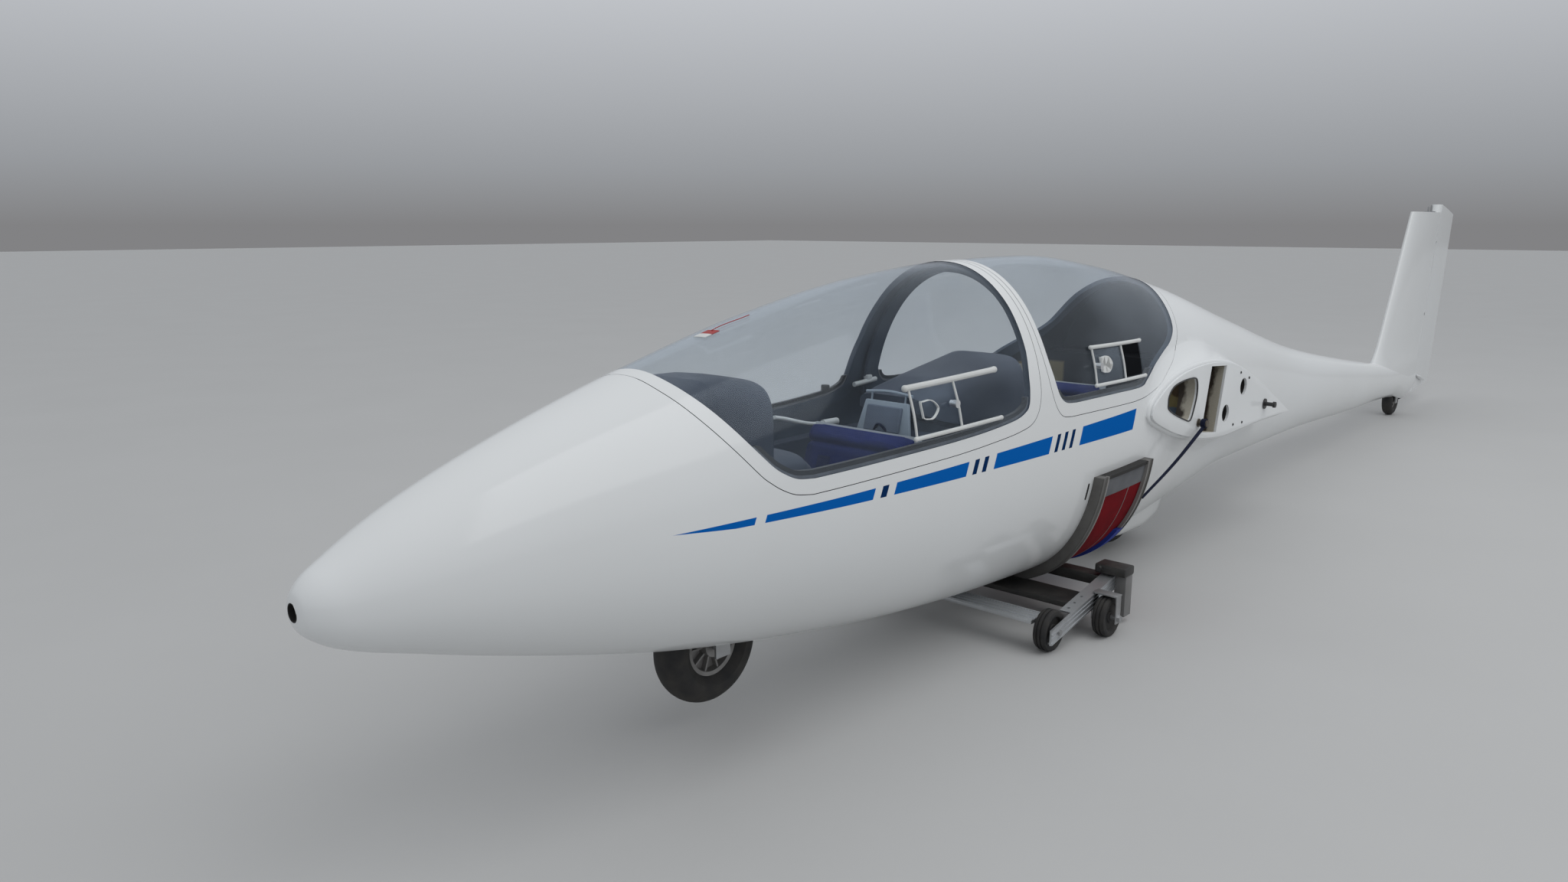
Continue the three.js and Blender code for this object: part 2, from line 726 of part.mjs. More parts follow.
function seat(form) {
  const line = seatLine(form);
  return sidePlate([...line, ...shift(line, -12).reverse()], -form.half, form.half);
}

function cushion(form, thick) {
  const line = seatLine(form);
  return sidePlate([...shift(line, 1), ...shift(line, thick).reverse()], -form.half + 12, form.half - 12);
}

const seatLow = floorTop + 1 + touchGap;
const frontSeat = { front: 1250, rear: 1500, low: seatLow, back: 1640, half: 200, top: 745 };
const rearSeat = { front: 2240, rear: 2560, low: seatLow, back: 2700, half: 200, top: 770 };

function floorPan() {
  return common(cabinLoft(skinWall + touchGap), block(1170, 2820, -beyond, beyond, 0, floorTop));
}

function stick(station, grip) {
  const foot = floorTop + touchGap;
  return join(
    rod([station, 0, foot], [station, 0, foot + 40], 24, 12),
    rod([station, 0, foot + 20], [station + 40, 0, grip - 110], 9, 12),
    rod([station + 38, 0, grip - 116], [station + 30, 0, grip], 16, 12),
  );
}

function pedals(station, z) {
  const bar = common(rod([station, -beyond, z], [station, beyond, z], 9, 12), cabinLoft(skinWall + touchGap));
  const plates = [-1, 1].map((side) => block(station - 10, station + 2, side * 115 - 40, side * 115 + 40, z - 8, z + 130));
  return join(bar, ...plates);
}

function sideConsole(yLow, yHigh) {
  return common(cut(cabinLoft(skinWall + touchGap), cabinLoft(62)), block(1200, 2800, yLow, yHigh, 400, 600));
}

// The dolly

const saddle = { front: 2300, rear: 2700, rim: 45, rimDepth: 44, liningDepth: 22, top: 470 };

function saddleBand(front, rear, depth) {
  const beside = podStations.filter((s) => s >= 2000 && s <= 3200);
  return common(hullWall(beside, -depth, -touchGap), block(front, rear, -beyond, beyond, -beyond, saddle.top));
}

const rail = { inner: 405.3, outer: 411, web: 46, flange: 36, thick: 5 };
const railLine = { rear: [2520, 186], front: [1995, 84] };
const caster = { radius: 62.5, width: 42, frontStation: 2015, rearStation: 2240, frontY: 377, rearY: 448, z: 62.5 };

function railTop(station) {
  const [rearStation, rearZ] = railLine.rear;
  const [frontStation, frontZ] = railLine.front;
  return frontZ + ((station - frontStation) / (rearStation - frontStation)) * (rearZ - frontZ);
}

function dollyRail() {
  const end = railLine.rear[0];
  const start = railLine.front[0] - 25;
  const web = sidePlate([
    [start, railTop(start)], [end, railTop(end)], [end, railTop(end) - rail.web], [start, railTop(start) - rail.web],
  ], rail.inner, rail.outer);
  const flangeStart = 2105;
  const flange = sidePlate([
    [flangeStart, railTop(flangeStart)], [end, railTop(end)],
    [end, railTop(end) - rail.thick], [flangeStart, railTop(flangeStart) - rail.thick],
  ], rail.inner - rail.flange, rail.inner + 1);
  const post = block(2440, 2500, rail.outer - 1, rail.outer + 6, 22, 196);
  const frontAxle = rod([caster.frontStation, 346, caster.z], [caster.frontStation, rail.inner + 2, caster.z], 7, 10);
  const rearAxle = rod([caster.rearStation, rail.inner + 2, caster.z], [caster.rearStation, 484, caster.z], 7, 10);
  const hanger = block(caster.rearStation - 18, caster.rearStation + 18, rail.inner, rail.outer, 48, 120);
  const arch = block(caster.rearStation - 18, caster.rearStation + 18, rail.inner + 1, 486, 131, 136);
  const strut = block(caster.rearStation - 15, caster.rearStation + 15, 481, 486, 48, 134);
  return join(web, flange, post, frontAxle, rearAxle, hanger, arch, strut);
}

function casterWheel(station, y) {
  const half = caster.width / 2;
  return turned([
    [7.6, -half * 0.7], [46, -half], [caster.radius, -half * 0.6],
    [caster.radius, half * 0.6], [46, half], [7.6, half * 0.7],
  ], station, y, caster.z, 20);
}

function frontCrossbar() {
  const y = 345.4;
  const plate = block(1966, 2048, -y, y, 84, 96);
  const tabs = [-1, 1].map((side) => block(1998, 2032, Math.min(side * y, side * (y - 8)),
    Math.max(side * y, side * (y - 8)), 46, 90));
  return join(plate, ...tabs);
}

function rearCrossbar() {
  const y = rail.inner - touchGap;
  return block(2172, 2296, -y, y, 70, 88);
}

function saddleBracket() {
  const band = hullLoft(podStations.filter((s) => s >= 2000 && s <= 3200), -saddle.liningDepth - touchGap);
  return cut(block(2405, 2495, 150, rail.inner - touchGap, 124, 158), band);
}

// The assembly

const glider = new THREE.Group();

function add(name, solid, material) {
  const mesh = solid.getMesh();
  const geometry = new THREE.BufferGeometry();
  geometry.setAttribute('position', new THREE.BufferAttribute(mesh.vertProperties, 3));
  geometry.setIndex(new THREE.BufferAttribute(mesh.triVerts, 1));
  const node = new THREE.Mesh(geometry, material);
  node.name = name;
  glider.add(node);
}

function addPair(name, solid, material) {
  add(`${name}_left`, solid, material);
  add(`${name}_right`, mirrored(solid), material);
}

const front = frontFuselage();
add('nose_shell', lengthOf(front, -beyond, noseEnd), white);
add('cockpit_tub', lengthOf(front, noseEnd + touchGap, tubEnd), white);
add('centre_section', lengthOf(front, tubEnd + touchGap, podEnd), white);
add('tail_boom', tailBoom(), white);
add('fin', fin(), white);
add('rudder', rudder(), white);
add('tailplane_fitting', tailplaneFitting(), metal);
addPair('wing_root', wingRoot(), white);
add('spar_tunnel', sparTunnel(), beige);

add('canopy_arch', canopyArch(), darkGrey);

add('front_canopy_frame', canopyFrame(canopyStations.front, frontFrameOutline, frontGlassOutline), white);
add('front_canopy_glass', canopyGlass(canopyStations.front, frontGlassOutline), clear);
add('front_vent_window', ventWindow(canopyStations.front, 1378, 1748, 730, 856), paleGrey);
add('rear_canopy_frame', canopyFrame(canopyStations.rear, rearFrameOutline, rearGlassOutline), white);
add('rear_canopy_glass', canopyGlass(canopyStations.rear, rearGlassOutline), clear);
add('rear_vent_window', ventWindow(canopyStations.rear, 2304, 2668, 752, 874), paleGrey);

add('front_instrument_pod', join(pod(frontPodRows), frontPodFoot()), darkGrey);
add('rear_instrument_pod', join(pod(rearPodRows), rearPodFoot()), darkGrey);
add('cockpit_floor', floorPan(), paleGrey);
add('front_seat', seat(frontSeat), paleGrey);
add('rear_seat', seat(rearSeat), paleGrey);
add('front_cushion', cushion(frontSeat, 60), navy);
add('rear_cushion', cushion(rearSeat, 60), navy);
add('front_stick', stick(1200, 560), black);
add('rear_stick', stick(2180, 560), black);
add('front_pedals', pedals(760, 470), metal);
add('rear_pedals', pedals(1960, 380), metal);
add('side_console_left', sideConsole(60, beyond), darkGrey);
add('side_console_right', sideConsole(-beyond, -60), darkGrey);

add('nose_tyre', tyre(noseWheel), tyreBlack);
add('nose_rim', wheelRim(noseWheel, 10.6), rimGrey);
add('nose_fork', fork(noseWheel, 10), metal);
add('main_tyre', tyre(mainWheel), tyreBlack);
add('main_rim', wheelRim(mainWheel, 10.6), rimGrey);
add('main_axle', axleBar(mainWheel, axleReach), metal);
add('tail_tyre', tyre(tailWheel), tyreBlack);
add('tail_hub', wheelRim(tailWheel, 8.6), rimGrey);
add('tail_fork', fork(tailWheel, 8), metal);

add('saddle_front_rim', saddleBand(saddle.front, saddle.front + saddle.rim, saddle.rimDepth), rimGrey);
add('saddle_rear_rim', saddleBand(saddle.rear - saddle.rim, saddle.rear, saddle.rimDepth), rimGrey);
add('saddle_lining', saddleBand(saddle.front + saddle.rim + touchGap, saddle.rear - saddle.rim - touchGap,
  saddle.liningDepth), red);
addPair('dolly_rail', dollyRail(), metal);
addPair('saddle_bracket', saddleBracket(), black);
add('dolly_front_crossbar', frontCrossbar(), metal);
add('dolly_rear_crossbar', rearCrossbar(), darkGrey);
addPair('dolly_front_wheel', casterWheel(caster.frontStation, caster.frontY), tyreBlack);
addPair('dolly_rear_wheel', casterWheel(caster.rearStation, caster.rearY), tyreBlack);

export default glider;
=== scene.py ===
"""A two-seat glider's fuselage on its belly dolly.

Metres. +X is forward, +Y is to the left, +Z is up. Stations run aft from the nose tip.
"""

import bisect
import math
from collections import namedtuple

import bmesh
import bpy
from mathutils import Matrix, Vector


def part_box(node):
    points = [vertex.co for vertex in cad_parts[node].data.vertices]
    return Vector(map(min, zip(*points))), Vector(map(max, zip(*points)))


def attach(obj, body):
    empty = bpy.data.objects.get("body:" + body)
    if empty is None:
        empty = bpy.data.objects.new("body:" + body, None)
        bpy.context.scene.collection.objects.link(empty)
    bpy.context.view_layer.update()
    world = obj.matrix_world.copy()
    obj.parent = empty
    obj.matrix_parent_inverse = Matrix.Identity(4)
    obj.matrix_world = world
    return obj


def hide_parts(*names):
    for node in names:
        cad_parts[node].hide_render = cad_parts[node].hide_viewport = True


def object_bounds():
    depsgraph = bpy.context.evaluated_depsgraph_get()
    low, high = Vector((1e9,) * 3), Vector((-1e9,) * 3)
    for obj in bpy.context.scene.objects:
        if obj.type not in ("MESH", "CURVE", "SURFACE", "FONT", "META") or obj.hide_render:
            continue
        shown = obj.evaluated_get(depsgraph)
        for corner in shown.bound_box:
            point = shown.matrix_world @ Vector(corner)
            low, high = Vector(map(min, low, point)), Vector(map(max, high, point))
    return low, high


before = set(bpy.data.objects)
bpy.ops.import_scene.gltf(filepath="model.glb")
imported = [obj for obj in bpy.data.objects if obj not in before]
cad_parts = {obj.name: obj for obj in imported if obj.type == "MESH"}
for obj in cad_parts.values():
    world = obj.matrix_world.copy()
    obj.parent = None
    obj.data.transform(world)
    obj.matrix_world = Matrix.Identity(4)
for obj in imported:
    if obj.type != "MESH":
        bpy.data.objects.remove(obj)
cad_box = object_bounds()

REAR_PIN_LENGTH = 0.044
NOSE_X = cad_box[1].x
RIB_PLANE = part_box("wing_root_left")[1].y - REAR_PIN_LENGTH
AIRFRAME = "airframe"

SEAM = 0.0018
OVERLAP = 0.001
MERGE = 1e-6


# The body's form

Section = namedtuple("Section", "station top bottom half")
SECTIONS = (
    Section(0.000, 0.588, 0.552, 0.019),
    Section(0.004, 0.601, 0.539, 0.033),
    Section(0.012, 0.613, 0.525, 0.046),
    Section(0.030, 0.630, 0.509, 0.064),
    Section(0.060, 0.648, 0.490, 0.084),
    Section(0.200, 0.722, 0.441, 0.144),
    Section(0.450, 0.821, 0.363, 0.208),
    Section(0.800, 0.930, 0.272, 0.281),
    Section(1.200, 1.032, 0.200, 0.331),
    Section(1.600, 1.102, 0.146, 0.350),
    Section(2.000, 1.135, 0.113, 0.355),
    Section(2.400, 1.142, 0.098, 0.352),
    Section(2.800, 1.104, 0.104, 0.330),
    Section(3.300, 1.016, 0.138, 0.282),
    Section(4.000, 0.853, 0.195, 0.219),
    Section(5.000, 0.630, 0.193, 0.145),
    Section(6.000, 0.476, 0.163, 0.109),
    Section(7.000, 0.349, 0.140, 0.081),
    Section(7.330, 0.312, 0.084, 0.066),
    Section(7.600, 0.285, 0.140, 0.050),
)
WIDEST_AT = 0.47
ROOF_POWER = 2.1
BELLY_POWER = 2.2


def smooth_column(name):
    """A monotone cubic through one column of the table."""
    knots = [row.station for row in SECTIONS]
    values = [getattr(row, name) for row in SECTIONS]
    steps = [b - a for a, b in zip(knots, knots[1:])]
    rises = [(b - a) / step for a, b, step in zip(values, values[1:], steps)]
    slopes = [rises[0]]
    for i in range(1, len(knots) - 1):
        before = 2 * steps[i] + steps[i - 1]
        after = steps[i] + 2 * steps[i - 1]
        turning = rises[i - 1] * rises[i] <= 0
        slopes.append(0 if turning else (before + after) / (before / rises[i - 1] + after / rises[i]))
    slopes.append(rises[-1])

    def at(station):
        i = min(max(bisect.bisect_right(knots, station) - 1, 0), len(steps) - 1)
        t = (station - knots[i]) / steps[i]
        return (
            values[i] * (2 * t**3 - 3 * t**2 + 1)
            + values[i + 1] * (3 * t**2 - 2 * t**3)
            + steps[i] * (slopes[i] * (t**3 - 2 * t**2 + t) + slopes[i + 1] * (t**3 - t**2))
        )

    return at


top_at = smooth_column("top")
bottom_at = smooth_column("bottom")
half_at = smooth_column("half")


def signed_power(value, power):
    return math.copysign(abs(value) ** power, value)


def skin(station, turn, inset=0.0):
    """The point of the body's surface at a station, a share of a turn round from the left side."""
    top = top_at(station) - inset
    bottom = bottom_at(station) + inset
    middle = bottom + WIDEST_AT * (top - bottom)
    across = math.cos(2 * math.pi * turn)
    up = math.sin(2 * math.pi * turn)
    power = 2 / (ROOF_POWER if up >= 0 else BELLY_POWER)
    rise = top - middle if up >= 0 else middle - bottom
    side = (half_at(station) - inset) * signed_power(across, power)
    return Vector((NOSE_X - station, side, middle + rise * signed_power(up, power)))


def side_at(station, height, inset=0.0):
    """The body's half width at a station and a height, or 0 above and below it."""
    top = top_at(station) - inset
    bottom = bottom_at(station) + inset
    middle = bottom + WIDEST_AT * (top - bottom)
    up = height >= middle
    power = ROOF_POWER if up else BELLY_POWER
    share = abs(height - middle) / (top - middle if up else middle - bottom)
    if share >= 1:
        return 0.0
    return (half_at(station) - inset) * (1 - share**power) ** (1 / power)


def evenly(first, last, parts):
    return [first + (last - first) * i / parts for i in range(parts + 1)]


NOSE_STATIONS = [0.06 * (i / 12) ** 2 for i in range(12)]
BOOM_END = 7.6
STATIONS = (NOSE_STATIONS + evenly(0.06, 0.42, 12)[:-1] + evenly(0.42, 7.32, 230)[:-1]
            + evenly(7.32, BOOM_END, 14))
AROUND = 112


# Outlines seen from the side, as pairs of station and height


def curve_through(points, per_span=6):
    """A smooth line through a few named points."""
    knots = [Vector(point) for point in points]
    line = [2 * knots[0] - knots[1], *knots, 2 * knots[-1] - knots[-2]]
    smooth = []
    for a, b, c, d in zip(line, line[1:], line[2:], line[3:]):
        for i in range(per_span):
            t = i / per_span
            point = 2 * b + (c - a) * t + (2 * a - 5 * b + 4 * c - d) * t**2
            smooth.append(0.5 * (point + (3 * b - a - 3 * c + d) * t**3))
    return [(p.x, p.y) for p in smooth] + [tuple(points[-1])]


def grown(outline, distance):
    """Each point of a closed outline moved outwards by a distance."""
    count = len(outline)
    area = sum(a[0] * b[1] - b[0] * a[1] for a, b in zip(outline, outline[1:] + outline[:1]))
    turn = math.copysign(1, area)
    moved = []
    for i in range(count):
        before, here, after = (Vector(outline[(i + k) % count]) for k in (-1, 0, 1))
        normals = [Vector((d.y, -d.x)).normalized() for d in (here - before, after - here)]
        out = (normals[0] + normals[1]).normalized()
        moved.append(tuple(here + out * turn * distance / max(0.5, out.dot(normals[1]))))
    return moved


# A height above both canopies, and widths inside and outside the body's left wall
SKY = 1.25
INNER_SIDE = 0.2
BEYOND = 0.7
FRONT_RIM_LINE = [
    (0.750, SKY),
    *curve_through([(0.750, 0.925), (0.754, 0.898), (0.772, 0.868), (0.800, 0.827), (0.843, 0.771),
                    (0.894, 0.710), (0.921, 0.687), (0.947, 0.670), (0.982, 0.655), (1.030, 0.648)], 4),
    *curve_through([(1.550, 0.661), (1.680, 0.667), (1.840, 0.679), (1.925, 0.700), (1.970, 0.760),
                    (1.985, 0.860)]),
    (1.993, 1.000),
    (1.995, SKY),
]
FRONT_GLASS_LINE = [
    (0.783, SKY),
    *curve_through([(0.783, 0.940), (0.785, 0.916), (0.800, 0.890), (0.826, 0.854), (0.859, 0.809),
                    (0.884, 0.776), (0.907, 0.748), (0.934, 0.719), (0.962, 0.700), (0.993, 0.687),
                    (1.040, 0.682)], 4),
    *curve_through([(1.540, 0.695), (1.680, 0.701), (1.822, 0.713), (1.881, 0.728), (1.905, 0.746),
                    (1.918, 0.785), (1.926, 0.827), (1.941, 0.890)]),
    (1.953, 1.010),
    (1.956, SKY),
]
REAR_RIM_LINE = [
    (2.020, SKY),
    (2.019, 1.050),
    *curve_through([(2.018, 0.950), (2.020, 0.880), (2.030, 0.800), (2.042, 0.750), (2.060, 0.715),
                    (2.090, 0.692), (2.140, 0.685)]),
    *curve_through([(2.577, 0.677), (2.680, 0.683), (2.760, 0.706), (2.850, 0.745), (2.950, 0.783),
                    (3.040, 0.826), (3.105, 0.880), (3.160, 0.975)]),
    (3.196, 1.060),
    (3.200, SKY),
]
REAR_GLASS_LINE = [
    (2.042, SKY),
    (2.041, 1.050),
    *curve_through([(2.040, 0.950), (2.045, 0.867), (2.057, 0.814), (2.072, 0.764), (2.090, 0.740),
                    (2.118, 0.727), (2.170, 0.722)]),
    *curve_through([(2.450, 0.719), (2.635, 0.717), (2.694, 0.735), (2.785, 0.777), (2.880, 0.809),
                    (2.970, 0.834), (3.043, 0.869), (3.076, 0.912), (3.100, 0.975)]),
    (3.142, 1.060),
    (3.146, SKY),
]
ROOT_LINE = [
    *curve_through([(2.672, 0.616), (2.680, 0.640), (2.703, 0.662), (2.785, 0.704), (2.903, 0.737),
                    (3.060, 0.752), (3.215, 0.750), (3.365, 0.729), (3.518, 0.684), (3.700, 0.615),
                    (3.880, 0.537), (4.045, 0.462)], 4),
    *curve_through([(3.890, 0.464), (3.705, 0.466), (3.502, 0.461), (3.312, 0.458), (3.129, 0.474),
                    (3.000, 0.496), (2.855, 0.533), (2.725, 0.580), (2.682, 0.602)], 4),
]
HAND_HOLE_LINE = curve_through([(2.792, 0.632), (2.793, 0.668), (2.830, 0.698), (2.910, 0.711),
                                (3.000, 0.711), (3.026, 0.694), (3.031, 0.650), (3.012, 0.598),
                                (2.986, 0.562), (2.933, 0.572), (2.850, 0.600), (2.800, 0.622)], 5)
SPAR_SLOT_LINE = [(3.150, 0.738), (3.292, 0.728), (3.235, 0.484), (3.095, 0.503)]
LINK_HOLES = ((3.478, 0.629), (3.315, 0.545))
LINK_HOLE_RADIUS = 0.033


# Solids, made and combined


def wrapped(stations, around, place):
    """A closed form: a grid with a column for each station, whose points come from place(station, turn)."""
    form = bmesh.new()
    bmesh.ops.create_grid(form, x_segments=len(stations) - 1, y_segments=around, size=0.5)
    for vertex in form.verts:
        column = round((vertex.co.x + 0.5) * (len(stations) - 1))
        vertex.co = place(stations[column], vertex.co.y + 0.5)
    bmesh.ops.remove_doubles(form, verts=form.verts, dist=MERGE)
    bmesh.ops.holes_fill(form, edges=[edge for edge in form.edges if edge.is_boundary])
    bmesh.ops.recalc_face_normals(form, faces=form.faces)
    return form


def body_solid(first, last, inset=0.0):
    """The body between two stations, drawn in by an inset."""
    gap = 0.002
    inside = [s for s in STATIONS if first + gap < s < last - gap]
    return wrapped([first, *inside, last], AROUND, lambda station, turn: skin(station, turn, inset))


def body_wall(first, last, outer, inner):
    """A wall along the body, between two insets from its skin."""
    return cut(body_solid(first, last, outer), body_solid(first - OVERLAP, last + OVERLAP, inner))


def side_plate(outline, near=-BEYOND, far=BEYOND):
    """A side view outline drawn out across the body between two widths."""
    form = bmesh.new()
    corners = [form.verts.new((NOSE_X - station, near, height)) for station, height in outline]
    face = form.faces.new(corners)
    moved = bmesh.ops.extrude_face_region(form, geom=[face])["geom"]
    corners = [part for part in moved if isinstance(part, bmesh.types.BMVert)]
    bmesh.ops.translate(form, vec=(0, far - near, 0), verts=corners)
    bmesh.ops.recalc_face_normals(form, faces=form.faces)
    return form


def block(front, rear, near, far, low, high, round_edge=0.0):
    """A box between two stations, two widths and two heights, with rounded edges if asked."""
    form = bmesh.new()
    bmesh.ops.create_cube(form, size=1.0)
    bmesh.ops.scale(form, vec=(rear - front, far - near, high - low), verts=form.verts)
    centre = (NOSE_X - (front + rear) / 2, (near + far) / 2, (low + high) / 2)
    bmesh.ops.translate(form, vec=centre, verts=form.verts)
    if round_edge:
        rounded(form, form.edges, round_edge, 2)
    return form


def rounded(form, edges, width, segments):
    bmesh.ops.bevel(form, geom=edges, offset=width, affect="EDGES", segments=segments, profile=0.5,
                    material=-1)


def rod(start, end, radius, sides=24, end_radius=None):
    """A round bar between two points given as (station, y, z)."""
    a, b = (Vector((NOSE_X - p[0], p[1], p[2])) for p in (start, end))
    form = bmesh.new()
    bmesh.ops.create_cone(form, cap_ends=True, segments=sides, radius1=radius,
                          radius2=radius if end_radius is None else end_radius, depth=(b - a).length)
    turn = (b - a).to_track_quat("Z", "Y").to_matrix()
    bmesh.ops.rotate(form, matrix=turn, verts=form.verts)
    bmesh.ops.translate(form, vec=(a + b) / 2, verts=form.verts)
    return form


def turned(profile, centre, steps=72):
    """A ring turned round a left-right axle through centre, from a closed profile of (radius, along)."""
    form = bmesh.new()
    points = [form.verts.new((centre[0] + radius, centre[1] + along, centre[2])) for radius, along in profile]
    edges = [form.edges.new(pair) for pair in zip(points, points[1:] + points[:1])]
    bmesh.ops.spin(form, geom=points + edges, cent=centre, axis=(0, 1, 0), angle=2 * math.pi, steps=steps,
                   use_merge=True)
    bmesh.ops.remove_doubles(form, verts=form.verts, dist=MERGE)
    bmesh.ops.recalc_face_normals(form, faces=form.faces)
    return form


def tube(points, radius, sides=10, closed=False):
    """A round tube along a smooth line through (station, y, z) points."""
    data = bpy.data.curves.new("line", "CURVE")
    data.dimensions = "3D"
    data.bevel_depth = radius
    data.bevel_resolution = max(1, sides // 4)
    data.use_fill_caps = not closed
    spline = data.splines.new("BEZIER")
    spline.bezier_points.add(len(points) - 1)
    spline.use_cyclic_u = closed
    for knot, (station, y, z) in zip(spline.bezier_points, points):
        knot.co = (NOSE_X - station, y, z)
        knot.handle_left_type = knot.handle_right_type = "AUTO"
    holder = bpy.data.objects.new("line", data)
    bpy.context.collection.objects.link(holder)
    form = bmesh.new()
    view = holder.evaluated_get(bpy.context.evaluated_depsgraph_get())
    form.from_mesh(view.to_mesh())
    view.to_mesh_clear()
    bpy.data.objects.remove(holder)
    bmesh.ops.remove_doubles(form, verts=form.verts, dist=MERGE)
    bmesh.ops.recalc_face_normals(form, faces=form.faces)
    return form


def mirrored(form):
    """A copy of a form on the other side of the body."""
    other = form.copy()
    bmesh.ops.scale(other, vec=(1, -1, 1), verts=other.verts)
    bmesh.ops.reverse_faces(other, faces=other.faces)
    return other


def together(*forms):
    """Several closed forms in one, left as they are."""
    whole = bmesh.new()
    for form in forms:
        mesh = bpy.data.meshes.new("part")
        form.to_mesh(mesh)
        form.free()
        whole.from_mesh(mesh)
        bpy.data.meshes.remove(mesh)
    return whole


def as_object(form, name="work"):
    mesh = bpy.data.meshes.new(name)
    form.to_mesh(mesh)
    form.free()
    made = bpy.data.objects.new(name, mesh)
    bpy.context.collection.objects.link(made)
    return made


def combine(operation, base, *tools):
    """The base cut (DIFFERENCE), joined (UNION) or trimmed (INTERSECT) by each closed tool in turn."""
    worked = as_object(base)
    parts = [as_object(tool) for tool in tools]
    for part in parts:
        step = worked.modifiers.new("step", "BOOLEAN")
        step.operation = operation
        step.solver = "MANIFOLD"
        step.object = part
    view = worked.evaluated_get(bpy.context.evaluated_depsgraph_get())
    result = bmesh.new()
    result.from_mesh(view.to_mesh())
    view.to_mesh_clear()
    for used in [worked, *parts]:
        bpy.data.objects.remove(used)
    if not result.faces:
        raise RuntimeError(f"{operation} left nothing")
    return result


def cut(base, *tools):
    return combine("DIFFERENCE", base, *tools)


def join(base, *more):
    return combine("UNION", base, *more)


def trim(base, *tools):
    return combine("INTERSECT", base, *tools)


def piece(name, form, body, *finishes, replaces=(), slot=None, sharp=32):
    """A finished piece: the form as a smooth-shaded mesh with its finishes, riding on a body."""
    for face in form.faces:
        face.smooth = True
    made = as_object(form, name)
    made.data.set_sharp_from_angle(angle=math.radians(sharp))
    for finish in finishes:
        made.data.materials.append(finish)
    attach(made, body)
    if replaces:
        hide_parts(*replaces)
    return made


# Finishes


class Wire:
    """A shader socket that takes arithmetic: each sign adds one Math node."""

    def __init__(self, finish, socket):
        self.finish = finish
        self.socket = socket

    def math(self, operation, *terms):
        node = self.finish.add("Math", {"operation": operation}, dict(enumerate(terms)))
        return Wire(self.finish, node.outputs[0])

    def __add__(self, other):
        return self.math("ADD", self, other)

    __radd__ = __add__

    def __sub__(self, other):
        return self.math("SUBTRACT", self, other)

    def __rsub__(self, other):
        return self.math("SUBTRACT", other, self)

    def __mul__(self, other):
        return self.math("MULTIPLY", self, other)

    __rmul__ = __mul__

    def __truediv__(self, other):
        return self.math("DIVIDE", self, other)

    def __pow__(self, other):
        return self.math("POWER", self, other)

    def above(self, edge, soft=0.0004):
        """1 where the value is over an edge, and 0 under it, with a narrow ramp between."""
        return ((self - (edge - soft / 2)) / soft).clamped()

    def clamped(self):
        node = self.finish.add("Clamp", {}, {"Value": self})
        return Wire(self.finish, node.outputs[0])

    def either(self, other):
        return self.math("MAXIMUM", self, other)

    def both(self, other):
        return self.math("MINIMUM", self, other)

    def wave(self):
        """Its sine, from 0 to 1."""
        return self.math("SINE", self) * 0.5 + 0.5

    def size(self):
        return self.math("ABSOLUTE", self)


def set_stops(ramp, stops):
    """Gives a ramp its stops, as pairs of position and colour."""
    while len(ramp.elements) < len(stops):
        ramp.elements.new(0.5)
    for element, (position, colour) in zip(ramp.elements, stops):
        element.position = position
        element.color = colour


def rgb(red, green, blue):
    return (red, green, blue, 1.0)


class Finish:
    """One material's nodes. add() makes any node: its settings go in first, then its inputs."""

    def __init__(self, name):
        self.material = bpy.data.materials.new(name)
        self.material.use_nodes = True
        self.nodes = self.material.node_tree.nodes
        self.links = self.material.node_tree.links
        self.nodes.clear()
        self.place = Wire(self, self.add("TexCoord").outputs["Object"])
        split = self.add("SeparateXYZ", {}, {"Vector": self.place})
        self.x, self.y, self.z = (Wire(self, split.outputs[axis]) for axis in "XYZ")

    def add(self, kind, settings=None, inputs=None):
        node = self.nodes.new("ShaderNode" + kind)
        for key, value in (settings or {}).items():
            if key == "stops":
                greys = [(position, rgb(level, level, level)) for position, level in value]
                set_stops(node.color_ramp, greys)
            else:
                setattr(node, key, value)
        for key, value in (inputs or {}).items():
            if isinstance(value, Wire):
                self.links.new(value.socket, node.inputs[key])
            else:
                node.inputs[key].default_value = value
        return node

    def noise(self, scale, detail=3.0, stretch=None):
        place = self.place
        if stretch:
            mapping = self.add("Mapping", {}, {"Vector": self.place, "Scale": stretch})
            place = Wire(self, mapping.outputs[0])
        inputs = {"Vector": place, "Scale": scale, "Detail": detail}
        return Wire(self, self.add("TexNoise", {}, inputs).outputs["Fac"])

    def cells(self, scale):
        node = self.add("TexVoronoi", {}, {"Vector": self.place, "Scale": scale})
        return Wire(self, node.outputs["Distance"])

    def ramp(self, value, *stops):
        node = self.add("ValToRGB", {"stops": stops}, {"Fac": value})
        return Wire(self, node.outputs["Color"])

    def blend(self, mask, low, high):
        """A colour that goes from low to high as the mask goes from 0 to 1."""
        inputs = {0: mask, 6: low, 7: high}
        node = self.add("Mix", {"data_type": "RGBA"}, inputs)
        return Wire(self, node.outputs[2])

    def relief(self, height, depth):
        """A normal from a height map whose full range is depth metres tall."""
        inputs = {"Height": height, "Distance": depth, "Strength": 1.0}
        return Wire(self, self.add("Bump", {}, inputs).outputs[0])

    def surface(self, **inputs):
        """Ends the finish with one Principled shader."""
        named = {key.replace("_", " ").title(): value for key, value in inputs.items()}
        renamed = {"Ior": "IOR", "Specular Ior Level": "Specular IOR Level"}
        named = {renamed.get(key, key): value for key, value in named.items()}
        shader = self.add("BsdfPrincipled", {}, named)
        self.add("OutputMaterial", {}, {"Surface": Wire(self, shader.outputs[0])})
        return self.material


